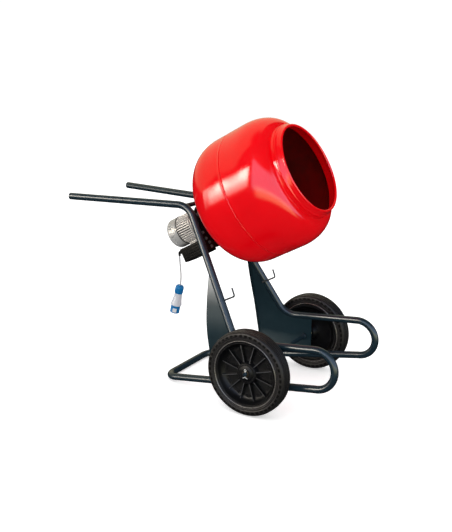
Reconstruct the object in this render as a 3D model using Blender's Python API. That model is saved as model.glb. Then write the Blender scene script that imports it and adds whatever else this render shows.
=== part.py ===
"""Two-wheeled site concrete mixer with a direct geared-motor drive.

Metres, +Z up. +X is forward (the drum's mouth and the front tipping loops),
+Y is the left side. The machine stands on its two tyres and on the two rear
feet, and the origin is at floor level under the middle of its outline.

Everything on the drum's axis is placed under the empty "drum_axis". In that
empty's frame z runs back along the axis from the mouth, x points up across the
axis and y is the machine's +Y.
"""

import math

import bmesh
import bpy
from mathutils import Matrix, Vector

for old in list(bpy.data.objects):
    bpy.data.objects.remove(old, do_unlink=True)

# ---------------------------------------------------------------- dimensions
SHIFT_X = 0.3629          # wheel axle ahead of the origin
GAP = 0.0003              # clearance between pieces that touch

TUBE_R = 0.0175           # side frame tube, 35 mm
TUBE_WALL = 0.002
HANDLE_END = (-1.117, 0.236, 0.898)
HANDLE_BEND = (-0.458, 0.124, 0.891)
LEG_BEND = (-0.117, 0.253, 0.296)
LOOP_TOP = (0.285, 0.2445, 0.3320)
LOOP_BOTTOM = (0.295, 0.250, 0.1515)
FOOT = (-0.556, 0.205, 0.0175)
FOOT_JOINT_X = -0.270      # where the foot tube is butted to the side frames
BEND_R = 0.100
FOOT_BEND_R = 0.0700
PLATE_T = 0.003
PANEL_FLAT = 0.2435

WHEEL_R = 0.200
WHEEL_Y = 0.3368
TYRE_HALF = 0.0377
BEAD_R = 0.150
AXLE_R = 0.010

MOUTH = (0.1229, 0.0, 1.0986)
TILT = math.radians(27.6)
DRUM_LEN = 0.5234
RIM_R = 0.2171
NECK_R = 0.2301
NECK_S = 0.0514
BELLY_R = 0.3138
SHOULDER_S = 0.190
BASE_START_S = 0.360
BASE_R = 0.1547
SEAM_S = 0.2785
SHEET = 0.002

MODULE = 0.00175
PINION_T = 10
WHEEL_T = 60
CENTRES = MODULE * (PINION_T + WHEEL_T) / 2

PLATE_S = 0.600           # front face of the drive plate
MOTOR_R = 0.075
BOX_TOP, BOX_BOTTOM = -0.083, -0.155

PLUG_TOP = (-0.5850, -0.025, 0.4497)
PLUG_TILT = math.radians(14.3)
CORD_R = 0.004

# ------------------------------------------------------------------ materials
PALETTE = {
    "frame_paint": ((0.030, 0.042, 0.056), 0.30, 0.0),
    "drum_red": ((0.78, 0.012, 0.010), 0.22, 0.0),
    "rubber": ((0.014, 0.013, 0.013), 0.75, 0.0),
    "black_plastic": ((0.012, 0.012, 0.013), 0.45, 0.0),
    "cast_aluminium": ((0.56, 0.53, 0.48), 0.38, 0.9),
    "fan_cover": ((0.60, 0.58, 0.54), 0.33, 0.9),
    "steel": ((0.55, 0.55, 0.56), 0.32, 1.0),
    "zinc": ((0.70, 0.70, 0.68), 0.28, 1.0),
    "bronze": ((0.60, 0.38, 0.16), 0.35, 1.0),
    "copper": ((0.72, 0.32, 0.14), 0.35, 1.0),
    "gearbox_black": ((0.015, 0.016, 0.018), 0.40, 0.0),
    "plug_blue": ((0.010, 0.16, 0.58), 0.38, 0.0),
    "plug_grey": ((0.70, 0.71, 0.74), 0.42, 0.0),
    "cord_grey": ((0.62, 0.62, 0.62), 0.55, 0.0),
    "button_green": ((0.02, 0.30, 0.06), 0.40, 0.0),
    "button_red": ((0.60, 0.02, 0.02), 0.40, 0.0),
}


def material(part, key):
    colour, rough, metal = PALETTE[key]
    mat = bpy.data.materials.new(f"{part}_{key}")
    mat.use_nodes = True
    shader = mat.node_tree.nodes["Principled BSDF"]
    shader.inputs["Base Color"].default_value = (*colour, 1.0)
    shader.inputs["Roughness"].default_value = rough
    shader.inputs["Metallic"].default_value = metal
    return mat


# -------------------------------------------------------------------- helpers
def empty(name, parent=None, location=(0, 0, 0), matrix=None):
    obj = bpy.data.objects.new(name, None)
    bpy.context.scene.collection.objects.link(obj)
    obj.parent = parent
    if matrix is None:
        obj.location = location
    else:
        obj.matrix_basis = matrix
    return obj


def scratch(bm):
    bmesh.ops.recalc_face_normals(bm, faces=bm.faces)
    mesh = bpy.data.meshes.new("shape")
    bm.to_mesh(mesh)
    bm.free()
    obj = bpy.data.objects.new("shape", mesh)
    bpy.context.scene.collection.objects.link(obj)
    obj.hide_render = True
    obj.display_type = "WIRE"
    return obj


def evaluated_mesh(obj):
    bpy.context.view_layer.update()
    graph = bpy.context.evaluated_depsgraph_get()
    return bpy.data.meshes.new_from_object(obj.evaluated_get(graph))


def triangulated(obj):
    bm = bmesh.new()
    bm.from_mesh(obj.data)
    bmesh.ops.triangulate(bm, faces=bm.faces)
    bm.to_mesh(obj.data)
    bm.free()


def combine(obj, others, operation):
    """Boolean each of the others into obj, and drop them."""
    for other in others:
        triangulated(obj)
        triangulated(other)
        mod = obj.modifiers.new("join", "BOOLEAN")
        mod.operation = operation
        mod.solver = "EXACT"
        mod.object = other
        mesh = evaluated_mesh(obj)
        obj.modifiers.clear()
        bm = bmesh.new()
        bm.from_mesh(mesh)
        bmesh.ops.remove_doubles(bm, verts=bm.verts, dist=2e-6)
        bm.to_mesh(mesh)
        bm.free()
        obj.data = mesh
    for other in others:
        bpy.data.objects.remove(other, do_unlink=True)
    return obj


def cut(obj, *others):
    return combine(obj, others, "DIFFERENCE")


def weld(obj, *others):
    return combine(obj, others, "UNION")


def soften(obj, width, segments=2, angle=40):
    mod = obj.modifiers.new("edges", "BEVEL")
    mod.width = width
    mod.segments = segments
    mod.limit_method = "ANGLE"
    mod.angle_limit = math.radians(angle)
    obj.data = evaluated_mesh(obj)
    obj.modifiers.clear()
    return obj


def part(name, obj, parent, mat, smooth=35):
    """Finish a shape as a named sub-part."""
    obj.name = name
    obj.data.name = name
    obj.hide_render = False
    obj.display_type = "TEXTURED"
    obj.parent = parent
    obj.data.materials.clear()
    obj.data.materials.append(material(name, mat))
    obj.data.shade_smooth()
    obj.data.set_sharp_from_angle(angle=math.radians(smooth))
    return obj


def box(x0, x1, y0, y1, z0, z1):
    bm = bmesh.new()
    bmesh.ops.create_cube(bm, size=1.0)
    for v in bm.verts:
        v.co = Vector(
            (
                x0 + (v.co.x + 0.5) * (x1 - x0),
                y0 + (v.co.y + 0.5) * (y1 - y0),
                z0 + (v.co.z + 0.5) * (z1 - z0),
            )
        )
    return scratch(bm)


def turned(profile, steps, loop=True, phase=0.0):
    """Spin a profile of (radius, z) about z. A loop is a ring's closed section;
    otherwise the profile starts and ends on the axis."""
    bm = bmesh.new()
    rings = []
    for r, z in profile:
        if r <= 1e-9:
            rings.append([bm.verts.new((0, 0, z))])
        else:
            rings.append(
                [
                    bm.verts.new(
                        (
                            r * math.cos(phase + 2 * math.pi * k / steps),
                            r * math.sin(phase + 2 * math.pi * k / steps),
                            z,
                        )
                    )
                    for k in range(steps)
                ]
            )
    pairs = list(zip(rings, rings[1:]))
    if loop:
        pairs.append((rings[-1], rings[0]))
    for a, b in pairs:
        for k in range(steps):
            n = (k + 1) % steps
            if len(a) == 1:
                bm.faces.new((a[0], b[k], b[n]))
            elif len(b) == 1:
                bm.faces.new((a[k], a[n], b[0]))
            else:
                bm.faces.new((a[k], a[n], b[n], b[k]))
    return scratch(bm)


def rod(r, z0, z1, steps=16, x=0.0, y=0.0, phase=0.11):
    obj = turned([(0, z0), (r, z0), (r, z1), (0, z1)], steps, loop=False, phase=phase)
    obj.data.transform(Matrix.Translation((x, y, 0)))
    return obj


def ring(r0, r1, z0, z1, steps=24, x=0.0, y=0.0):
    obj = turned([(r0, z0), (r1, z0), (r1, z1), (r0, z1)], steps)
    obj.data.transform(Matrix.Translation((x, y, 0)))
    return obj


def prism(outline, z0, z1):
    bm = bmesh.new()
    face = bm.faces.new([bm.verts.new((x, y, z0)) for x, y in outline])
    out = bmesh.ops.extrude_face_region(bm, geom=[face])
    for v in out["geom"]:
        if isinstance(v, bmesh.types.BMVert):
            v.co.z = z1
    return scratch(bm)


def moved(obj, matrix):
    obj.data.transform(matrix)
    return obj


def upright(obj):
    """Turn a shape made about z so that it lies about +Y."""
    return moved(obj, Matrix.Rotation(-math.pi / 2, 4, "X"))


def filleted(corners, radii, step=math.radians(17)):
    """A path through the corners with a circular bend at each inner one."""
    pts = [Vector(c) for c in corners]
    path = [pts[0]]
    for i in range(1, len(pts) - 1):
        before, at, after = pts[i - 1], pts[i], pts[i + 1]
        u = (before - at).normalized()
        v = (after - at).normalized()
        turn = math.pi - u.angle(v)
        reach = radii[i - 1] * math.tan(turn / 2)
        centre = at + (u + v).normalized() * (radii[i - 1] / math.cos(turn / 2))
        start, end = at + u * reach, at + v * reach
        n = max(2, math.ceil(turn / step))
        a, b = start - centre, end - centre
        for k in range(n + 1):
            t = k / n
            path.append(
                centre
                + (a * math.sin((1 - t) * turn) + b * math.sin(t * turn))
                / math.sin(turn)
            )
    path.append(pts[-1])
    return path


def curve_along(path, radius, resolution=4, caps=True):
    data = bpy.data.curves.new("path", "CURVE")
    data.dimensions = "3D"
    data.bevel_depth = radius
    data.bevel_resolution = resolution
    data.use_fill_caps = caps
    spline = data.splines.new("POLY")
    spline.points.add(len(path) - 1)
    for point, p in zip(spline.points, path):
        point.co = (*p, 1.0)
    obj = bpy.data.objects.new("path", data)
    bpy.context.scene.collection.objects.link(obj)
    return obj


def pipe(path, radius, wall=None, resolution=3):
    """A round bar along a path, or a hollow tube with open ends."""
    obj = curve_along(path, radius, resolution, caps=wall is None)
    if wall is not None:
        mod = obj.modifiers.new("wall", "SOLIDIFY")
        mod.thickness = wall
        mod.offset = -1.0
    mesh = evaluated_mesh(obj)
    bpy.data.objects.remove(obj, do_unlink=True)
    bm = bmesh.new()
    bm.from_mesh(mesh)
    bmesh.ops.remove_doubles(bm, verts=bm.verts, dist=1e-6)
    return scratch(bm)


def mirrored(points, side):
    return [(p[0], p[1] * side, p[2]) for p in points]


# ------------------------------------------------------------ reference frames
root = empty("mixer", location=(SHIFT_X, 0, 0))
AXIS = Vector((math.cos(TILT), 0, math.sin(TILT)))       # out of the mouth
UP = Vector((-math.sin(TILT), 0, math.cos(TILT)))
drum_frame = Matrix(
    (
        (UP.x, 0, -AXIS.x, MOUTH[0]),
        (0, 1, 0, MOUTH[1]),
        (UP.z, 0, -AXIS.z, MOUTH[2]),
        (0, 0, 0, 1),
    )
)
drum_axis = empty("drum_axis", root, matrix=drum_frame)
layshaft_axis = empty("layshaft_axis", drum_axis, location=(-CENTRES, 0, 0))

# ----------------------------------------------------------------- side frames
corners = [HANDLE_END, HANDLE_BEND, LEG_BEND, LOOP_TOP]
loop_r = (Vector(LOOP_TOP) - Vector(LOOP_BOTTOM)).length / 2
loop_centre = (Vector(LOOP_TOP) + Vector(LOOP_BOTTOM)) / 2


def side_path():
    """Centre line of a side frame: handle, leg, top rail, front loop and bottom
    rail, as far as the joint with the foot tube."""
    down = (Vector(LOOP_BOTTOM) - Vector(LOOP_TOP)) / 2
    out = Vector((1, 0, 0)) - down.normalized() * down.normalized().x
    out.normalize()
    upper = filleted(corners, [BEND_R, BEND_R])
    arc = [
        loop_centre - down * math.cos(t) + out * loop_r * math.sin(t)
        for t in (math.pi * k / 10 for k in range(1, 11))
    ]
    return upper + arc + [rail_at(FOOT_JOINT_X + GAP / 2)]


def rail_at(x):
    """A point of the bottom rail's centre line."""
    low, high = Vector(FOOT), Vector(LOOP_BOTTOM)
    return low.lerp(high, (x - low.x) / (high.x - low.x))


PATH = side_path()


def point_at_x(x, upper=True):
    """Where the centre line passes a given x, on its upper or lower run."""
    found = []
    for a, b in zip(PATH, PATH[1:]):
        if (a.x - x) * (b.x - x) <= 0 and abs(a.x - b.x) > 1e-9:
            found.append(a.lerp(b, (x - a.x) / (b.x - a.x)))
    return max(found, key=lambda p: p.z) if upper else min(found, key=lambda p: p.z)


def frame_tube(side, radius, wall=None):
    return pipe(mirrored(PATH, side), radius, wall)


def panel_y(x, z):
    """The side panel's mid surface. It lies along the leg, runs out upright at
    PANEL_FLAT, and turns in below the axle to meet the bottom rail."""
    slope = (LEG_BEND[1] - HANDLE_BEND[1]) / (HANDLE_BEND[2] - LEG_BEND[2])
    leg = HANDLE_BEND[1] + (HANDLE_BEND[2] - max(z, WHEEL_R)) * slope
    soft = 0.006
    y = -soft * math.log(math.exp(-leg / soft) + math.exp(-PANEL_FLAT / soft))
    if z < WHEEL_R:
        low = point_at_x(x, upper=False)
        t = (WHEEL_R - z) / (WHEEL_R - low.z)
        y += (low.y - y) * t
    return y


PANEL_X0, PANEL_X1 = -0.316, 0.040
APEX = point_at_x(-0.305)


def panel_slab(side, inner, outer, columns=4, rows=6):
    """A curved slab through the side frame, from inner to outer of the mid
    surface."""
    bm = bmesh.new()
    z0, z1 = 0.03, 0.66
    layers = []
    for off in (-inner, outer):
        layer = []
        for i in range(columns + 1):
            x = PANEL_X0 + (PANEL_X1 + 0.01 - PANEL_X0) * i / columns
            layer.append(
                [
                    bm.verts.new(
                        (
                            x,
                            (panel_y(x, z0 + (z1 - z0) * j / rows) + off) * side,
                            z0 + (z1 - z0) * j / rows,
                        )
                    )
                    for j in range(rows + 1)
                ]
            )
        layers.append(layer)
    a, b = layers
    for i in range(columns):
        for j in range(rows):
            bm.faces.new((a[i][j], a[i + 1][j], a[i + 1][j + 1], a[i][j + 1]))
            bm.faces.new((b[i][j], b[i][j + 1], b[i + 1][j + 1], b[i + 1][j]))
    edge = (
        [(i, 0) for i in range(columns)]
        + [(columns, j) for j in range(rows)]
        + [(i, rows) for i in range(columns, 0, -1)]
        + [(0, j) for j in range(rows, 0, -1)]
    )
    for (i, j), (m, n) in zip(edge, edge[1:] + edge[:1]):
        bm.faces.new((a[i][j], a[m][n], b[m][n], b[i][j]))
    return scratch(bm)


def rear_edge(t):
    """The bowed rear edge of a panel, from the bottom rail (t=0) to the leg."""
    bottom = point_at_x(-0.236, upper=False)
    x = bottom.x + (APEX.x - bottom.x) * (1 - (1 - t) ** 2.0)
    return x, bottom.z + (APEX.z - bottom.z) * t


REAR = [rear_edge(k / 6) for k in range(7)]
OUTLINE = (
    REAR
    + [(LEG_BEND[0], LEG_BEND[2]), (PANEL_X1, point_at_x(PANEL_X1).z)]
    + [(PANEL_X1, point_at_x(PANEL_X1, upper=False).z)]
)


def upright_prism(outline, y0, y1):
    """A prism along y from an outline in x and z."""
    obj = prism([(x, -z) for x, z in outline], y0, y1)
    return upright(obj)


def side_panel(side):
    y0, y1 = sorted((0.10 * side, 0.33 * side))
    half = PLATE_T / 2
    plate = panel_slab(side, half, half)
    combine(plate, [upright_prism(OUTLINE, y0, y1)], "INTERSECT")
    strip = REAR + [(x + PLATE_T, z) for x, z in reversed(REAR)]
    lip = panel_slab(side, 0.014, half - 0.0002)
    combine(lip, [upright_prism(strip, y0, y1)], "INTERSECT")
    weld(plate, lip)
    cut(plate, frame_tube(side, TUBE_R + GAP))
    hole = upright(rod(AXLE_R + 0.0125, -0.5, 0.5, 16))
    cut(plate, moved(hole, Matrix.Translation((0, 0, WHEEL_R))))
    return plate


for side, name in ((1, "left"), (-1, "right")):
    part(f"side_frame_{name}", frame_tube(side, TUBE_R, TUBE_WALL), root, "frame_paint")
    part(f"side_panel_{name}", side_panel(side), root, "frame_paint")

    # plastic plug in the open end of the handle
    end = Vector(mirrored([HANDLE_END], side)[0])
    inward = (Vector(mirrored([HANDLE_BEND], side)[0]) - end).normalized()
    plug = turned(
        [
            (0, -0.0040),
            (0.0120, -0.0040),
            (TUBE_R - 0.0012, -0.0022),
            (TUBE_R - 0.0006, -GAP),
            (TUBE_R - TUBE_WALL - 0.0010, -GAP),
            (TUBE_R - TUBE_WALL - 0.0014, 0.016),
            (0, 0.016),
        ],
        16,
        loop=False,
    )
    moved(plug, inward.to_track_quat("Z", "Y").to_matrix().to_4x4())
    moved(plug, Matrix.Translation(end))
    part(f"handle_end_plug_{name}", plug, root, "black_plastic")

    # bent rod hook on the inner side of the leg
    t = 0.708
    leg = Vector(HANDLE_BEND).lerp(Vector(LEG_BEND), t)
    base = leg + Vector((0.004, -TUBE_R - 0.0045, 0.0))
    hook = filleted(
        [
            base + Vector((-0.010, -0.0016, -0.0051)),
            (-0.1525, 0.2034, 0.5005),
            (-0.1670, 0.2034, 0.5395),
        ],
        [0.009],
        math.radians(20),
    )
    part(f"hook_{name}", pipe(mirrored(hook, side), 0.004, resolution=3), root, "frame_paint")

# ------------------------------------------- foot tube across the back, rail to rail
foot_left = [rail_at(FOOT_JOINT_X - GAP / 2), Vector(FOOT)]
foot_right = [Vector((p.x, -p.y, p.z)) for p in reversed(foot_left)]
foot_line = filleted(foot_left + foot_right, [FOOT_BEND_R, FOOT_BEND_R])
part("rear_foot_tube", pipe(foot_line, TUBE_R, TUBE_WALL), root, "frame_paint")

# ------------------------------------------------------------------- crossbar
bar_at = point_at_x(-0.484)
crossbar = pipe(
    [(bar_at.x, -bar_at.y, bar_at.z), (bar_at.x, bar_at.y, bar_at.z)], 0.011, 0.002
)
cut(crossbar, frame_tube(1, TUBE_R + GAP), frame_tube(-1, TUBE_R + GAP))
part("handle_crossbar", crossbar, root, "frame_paint")

# ------------------------------------------------------------ axle and bosses
panel_at_axle = panel_y(0.0, WHEEL_R)
HUB_IN = 0.291
AXLE_END = 0.3720
axle = upright(
    turned(
        [
            (0, -AXLE_END),
            (AXLE_R - 0.0015, -AXLE_END),
            (AXLE_R, -AXLE_END + 0.0015),
            (AXLE_R, AXLE_END - 0.0015),
            (AXLE_R - 0.0015, AXLE_END),
            (0, AXLE_END),
        ],
        16,
        loop=False,
        phase=math.pi / 16,
    )
)
pin_y = 0.3660
for side in (1, -1):
    cut(axle, rod(0.0029, -0.02, 0.02, 8, 0, pin_y * side, phase=0.1))
moved(axle, Matrix.Translation((0, 0, WHEEL_R)))
part("axle", axle, root, "frame_paint")
for side, name in ((1, "left"), (-1, "right")):
    near, far = sorted((side * (panel_at_axle - 0.016), side * (HUB_IN - 0.0035)))
    collar_r = 0.0165
    sleeve = upright(ring(AXLE_R + GAP, collar_r, near, far, 16))
    f0, f1 = sorted(
        (side * (panel_at_axle + 0.0064), side * (panel_at_axle + 0.0115))
    )
    flange = upright(ring(AXLE_R + 0.003, 0.032, f0, f1, 16))
    boss = moved(weld(sleeve, flange), Matrix.Translation((0, 0, WHEEL_R)))
    part(f"axle_boss_{name}", boss, root, "frame_paint")

# --------------------------------------------------------------------- wheels
FACETS = 28
flat_r = 1 / math.cos(math.pi / FACETS)      # the flats, not the corners, are at WHEEL_R
flat_phase = math.pi / FACETS + math.pi / 2


def tyre_shape():
    half = TYRE_HALF
    section = [
        (BEAD_R, -0.030),
        (0.1600, -half),
        (0.1880, -half),
        (0.1960, -half + 0.0055),
        (WHEEL_R, -half + 0.0150),
    ]
    section = section + [(r, -z) for r, z in reversed(section)]
    return turned([(r * flat_r, z) for r, z in section], FACETS, phase=flat_phase)


def rim_shape():
    """Plastic wheel centre: outer band, deep dished web, hub and 12 ribs. Its
    outer face is on the +z side."""
    band = BEAD_R - 0.0012
    section = [
        (band, -0.032),
        (band, 0.0345),
        (0.1425, 0.0345),
        (0.1370, 0.0180),
        (0.1200, -0.0010),
        (0.0540, -0.0030),
        (0.0480, 0.0200),
        (0.0270, 0.0250),
        (0.0150, 0.0250),
        (0.0150, -0.0400),
        (0.0300, -0.0400),
        (0.0460, -0.0120),
        (0.1180, -0.0080),
        (0.1380, -0.0320),
    ]
    rim = turned(section, FACETS, phase=flat_phase)
    ribs = []
    for k in range(12):
        outline = [
            (0.046, -0.006),
            (0.126, -0.005),
            (0.1410, 0.0240),
            (0.046, 0.0165),
        ]
        bm = bmesh.new()
        face = bm.faces.new([bm.verts.new((r, -0.0017, z)) for r, z in outline])
        out = bmesh.ops.extrude_face_region(bm, geom=[face])
        for v in out["geom"]:
            if isinstance(v, bmesh.types.BMVert):
                v.co.y = 0.0017
        rib = scratch(bm)
        moved(rib, Matrix.Rotation(2 * math.pi * (k + 0.5) / 12, 4, "Z"))
        ribs.append(rib)
    return weld(rim, *ribs)


def wheel_turn(side):
    """From a wheel made about z, outer face up, to one about y."""
    return Matrix.Rotation(-side * math.pi / 2, 4, "X")


for side, name in ((1, "left"), (-1, "right")):
    hub = empty(f"wheel_axis_{name}", root, location=(0, WHEEL_Y * side, WHEEL_R))
    turn = wheel_turn(side)
    part(f"tyre_{name}", moved(tyre_shape(), turn), hub, "rubber")
    part(f"rim_{name}", moved(rim_shape(), turn), hub, "black_plastic")
    bush = ring(AXLE_R + GAP, 0.0147, -0.0400, 0.0250, 16)
    part(f"hub_bush_{name}", moved(bush, turn), hub, "bronze")

# ------------------------------------------------- washers and split pins


def split_pin(side):
    """An eye above the axle, two legs down through it, the ends bent apart."""
    y = pin_y * side
    eye_z, eye_r = 0.0185, 0.0045
    left = [
        Vector((-0.00115, y, -0.0125)),
        Vector((-0.00115, y, 0.0125)),
    ]
    eye = [
        Vector((-eye_r * math.sin(t), y, eye_z - eye_r * math.cos(t)))
        for t in (math.radians(a) for a in range(25, 336, 31))
    ]
    path = [Vector((-0.0120, y, -0.0195)), Vector((-0.0050, y, -0.0165))]
    path += left + eye
    path += [Vector((-p.x, p.y, p.z)) for p in reversed(left)]
    path += [Vector((0.0050, y, -0.0165)), Vector((0.0120, y, -0.0195))]
    return pipe(path, 0.0009, resolution=1)


for side, name in ((1, "left"), (-1, "right")):
    at = Matrix.Translation((0, WHEEL_Y * side, WHEEL_R))
    washer = ring(AXLE_R + GAP, 0.0185, -0.0400 - GAP - 0.0028, -0.0400 - GAP, 16)
    part(f"wheel_washer_{name}", moved(washer, at @ wheel_turn(side)), root, "zinc")
    pin = moved(split_pin(side), Matrix.Translation((0, 0, WHEEL_R)))
    part(f"split_pin_{name}", pin, root, "zinc")

# ----------------------------------------------------------------- drum shells


def drum_r(s):
    """Outer radius of the drum at a distance s behind the mouth."""
    if s < NECK_S:
        return RIM_R + (NECK_R - RIM_R) * (s / NECK_S)
    if s < SHOULDER_S:
        q = (SHOULDER_S - s) / (SHOULDER_S - NECK_S)
        return NECK_R + (BELLY_R - NECK_R) * (1 - q**2.05) ** (1 / 2.05)
    if s < BASE_START_S:
        return BELLY_R
    q = min(1.0, (s - BASE_START_S) / (DRUM_LEN - BASE_START_S))
    return BASE_R + (BELLY_R - BASE_R) * (1 - q**2.1) ** (1 / 2.1)


def eased(s0, s1, n, dense_at_end):
    """n+1 stations from s0 to s1, closer together at the curved end."""
    out = []
    for k in range(n + 1):
        t = k / n
        t = math.sin(t * math.pi / 2) if dense_at_end else 1 - math.cos(t * math.pi / 2)
        out.append(s0 + (s1 - s0) * t)
    return out


DRUM_STEPS = 28
rim_c = RIM_R - 0.0065
upper_out = [(drum_r(SEAM_S), SEAM_S - GAP), (drum_r(SHOULDER_S), SHOULDER_S)]
upper_out += [
    (drum_r(s), s) for s in reversed(eased(NECK_S, SHOULDER_S - 0.016, 5, False))
]
neck = [
    (drum_r(0.038), 0.038),
    (drum_r(0.030) + 0.004, 0.030),
    (drum_r(0.020), 0.020),
]
bead = [
    (rim_c + 0.0065 * math.cos(t), 0.0065 - 0.0065 * math.sin(t))
    for t in (math.radians(a) for a in (-20, 50, 115, 180, 235))
]
upper_in = [(r - SHEET, z + (0.0006 if z < 0.05 else 0.0)) for r, z in reversed(neck[:1] + neck[2:])]
upper_in += [
    (drum_r(s) - SHEET, s + SHEET * 0.6)
    for s in eased(NECK_S, SHOULDER_S - 0.016, 4, False)
]
upper_in += [(drum_r(SHOULDER_S) - SHEET, SHOULDER_S), (drum_r(SEAM_S) - SHEET, SEAM_S - GAP)]
part(
    "drum_upper_shell",
    turned(upper_out + neck + bead + upper_in, DRUM_STEPS),
    drum_axis,
    "drum_red",
    50,
)

bowl_s = eased(BASE_START_S, DRUM_LEN, 6, True)
bowl_out = [(drum_r(SEAM_S), SEAM_S)] + [(drum_r(s), s) for s in bowl_s]
bowl_in = [(drum_r(SEAM_S) - SHEET, SEAM_S)] + [
    (drum_r(s) - SHEET, s - SHEET * (s - BASE_START_S) / (DRUM_LEN - BASE_START_S))
    for s in bowl_s
]
bowl = turned(
    [(0, DRUM_LEN)] + list(reversed(bowl_out)) + bowl_in + [(0, DRUM_LEN - SHEET)],
    DRUM_STEPS,
    loop=False,
)
HUB_BOLTS = [
    (0.055 * math.cos(math.pi * k / 3 + 0.05), 0.055 * math.sin(math.pi * k / 3 + 0.05))
    for k in range(6)
]
cut(bowl, *[rod(0.0046, 0.50, 0.56, 8, x, y, 0.17) for x, y in HUB_BOLTS])
part("drum_bowl", bowl, drum_axis, "drum_red", 50)

# ---------------------------------------------------------------- mixing blades


def blade(start_angle):
    """A twisted paddle that follows the wall from the base to the shoulder."""
    n, m = 9, 3
    bm = bmesh.new()
    grid = []
    for i in range(n + 1):
        t = i / n
        s = 0.470 - 0.355 * t
        angle = start_angle - math.radians(62) * (1 - t)
        wall = (drum_r(s) - SHEET) * math.cos(math.pi / DRUM_STEPS) - 0.0040
        tall = 0.030 + 0.046 * math.sin(math.pi * (0.12 + 0.76 * t))
        row = []
        for j in range(m + 1):
            r = wall - tall * j / m
            lean = angle + math.radians(9) * (j / m) ** 2
            row.append(bm.verts.new((r * math.cos(lean), r * math.sin(lean), s)))
        grid.append(row)
    for i in range(n):
        for j in range(m):
            bm.faces.new(
                (grid[i][j], grid[i + 1][j], grid[i + 1][j + 1], grid[i][j + 1])
            )
    obj = scratch(bm)
    mod = obj.modifiers.new("plate", "SOLIDIFY")
    mod.thickness = 0.004
    mod.offset = 0.0
    obj.data = evaluated_mesh(obj)
    obj.modifiers.clear()
    return obj


part("mixing_blade_1", blade(math.radians(-25)), drum_axis, "drum_red")
part("mixing_blade_2", blade(math.radians(155)), drum_axis, "drum_red")

# ------------------------------------------------------------- hub, shaft, gear
SHAFT_R = 0.0125
hub = turned(
    [
        (SHAFT_R + GAP, DRUM_LEN + GAP),
        (0.072, DRUM_LEN + GAP),
        (0.072, DRUM_LEN + 0.0085),
        (0.034, DRUM_LEN + 0.0110),
        (0.028, DRUM_LEN + 0.0225),
        (SHAFT_R + GAP, DRUM_LEN + 0.0225),
    ],
    20,
    phase=0.02,
)
cut(hub, *[rod(0.0046, 0.50, 0.56, 8, x, y, 0.17) for x, y in HUB_BOLTS])
part("drum_hub", hub, drum_axis, "gearbox_black")
inside = DRUM_LEN - SHEET - GAP
studs = ring(0.044, 0.066, inside - 0.003, inside, 18)
weld(
    studs,
    *[rod(0.0040, inside - 0.002, DRUM_LEN + 0.0190, 8, x, y, 0.17) for x, y in HUB_BOLTS],
    *[rod(0.0072, inside - 0.0070, inside - 0.001, 6, x, y, 0.17) for x, y in HUB_BOLTS],
)
part("hub_stud_ring", studs, drum_axis, "zinc")
GEAR1 = (0.609, 0.629)
GEAR2 = (0.636, 0.652)
shaft = turned(
    [
        (0, DRUM_LEN + 0.0010),
        (SHAFT_R, DRUM_LEN + 0.0010),
        (SHAFT_R, 0.6070),
        (0.0100, 0.6075),
        (0.0100, 0.6300),
        (0, 0.6300),
    ],
    20,
    loop=False,
)
part("drum_shaft", shaft, drum_axis, "steel")


def gear(teeth, z0, z1, phase=0.0, tip=0.85, root_depth=1.15, thickness=0.40):
    """Straight-flanked spur gear, thinned for backlash."""
    pitch_r = MODULE * teeth / 2
    step = 2 * math.pi / teeth
    half = step * thickness / 2
    slope = math.tan(math.radians(20)) / pitch_r
    outline = []
    for k in range(teeth):
        mid = phase + k * step
        low, high = -root_depth * MODULE, tip * MODULE
        for depth, sign in ((low, -1), (high, -1), (high, 1), (low, 1)):
            angle = mid + sign * (half - depth * slope)
            r = pitch_r + depth
            outline.append((r * math.cos(angle), r * math.sin(angle)))
    return prism(outline, z0, z1)


output_gear = gear(WHEEL_T, *GEAR1)
cut(output_gear, rod(0.0100 + GAP, 0.6, 0.7, 16))
part("output_gear", output_gear, drum_axis, "steel")

# the 10-tooth pinions look along +x (from the layshaft to the drum axis) and
# along -x (from the motor shaft to the layshaft); a tooth there meets a space
layshaft = weld(
    turned(
        [
            (0, PLATE_S + 0.0005),
            (0.006, PLATE_S + 0.0005),
            (0.006, 0.6720 - 0.0005),
            (0, 0.6720 - 0.0005),
        ],
        16,
        loop=False,
    ),
    gear(PINION_T, *GEAR1, phase=math.pi / PINION_T, root_depth=1.0),
)
part("layshaft", layshaft, layshaft_axis, "steel")
lay_gear = gear(WHEEL_T, *GEAR2)
cut(lay_gear, rod(0.006 + GAP, 0.6, 0.7, 16))
part("layshaft_gear", lay_gear, layshaft_axis, "steel")

motor_shaft = weld(
    turned(
        [
            (0, 0.6345),
            (0.0058, 0.6345),
            (0.0058, 0.6600),
            (0.0075, 0.6615),
            (0.0075, 0.8120),
            (0, 0.8120),
        ],
        16,
        loop=False,
    ),
    gear(PINION_T, *GEAR2, phase=math.pi / PINION_T, root_depth=1.0),
)
part("motor_shaft", motor_shaft, drum_axis, "steel")
part("rotor_core", ring(0.0078, 0.0355, 0.7040, 0.7560, 20), drum_axis, "steel")
fan_blades = [
    moved(
        box(0.015, 0.057, -0.001, 0.001, 0.7910, 0.8070),
        Matrix.Rotation(math.pi * k / 3, 4, "Z"),
    )
    for k in range(6)
]
fan = turned(
    [
        (0.0078, 0.7890),
        (0.0560, 0.7890),
        (0.0560, 0.7915),
        (0.0180, 0.7920),
        (0.0180, 0.8080),
        (0.0078, 0.8080),
    ],
    18,
    phase=0.05,
)
weld(fan, *fan_blades)
part("cooling_fan", fan, drum_axis, "black_plastic")

# --------------------------------------------------- drive plate and gearbox


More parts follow.
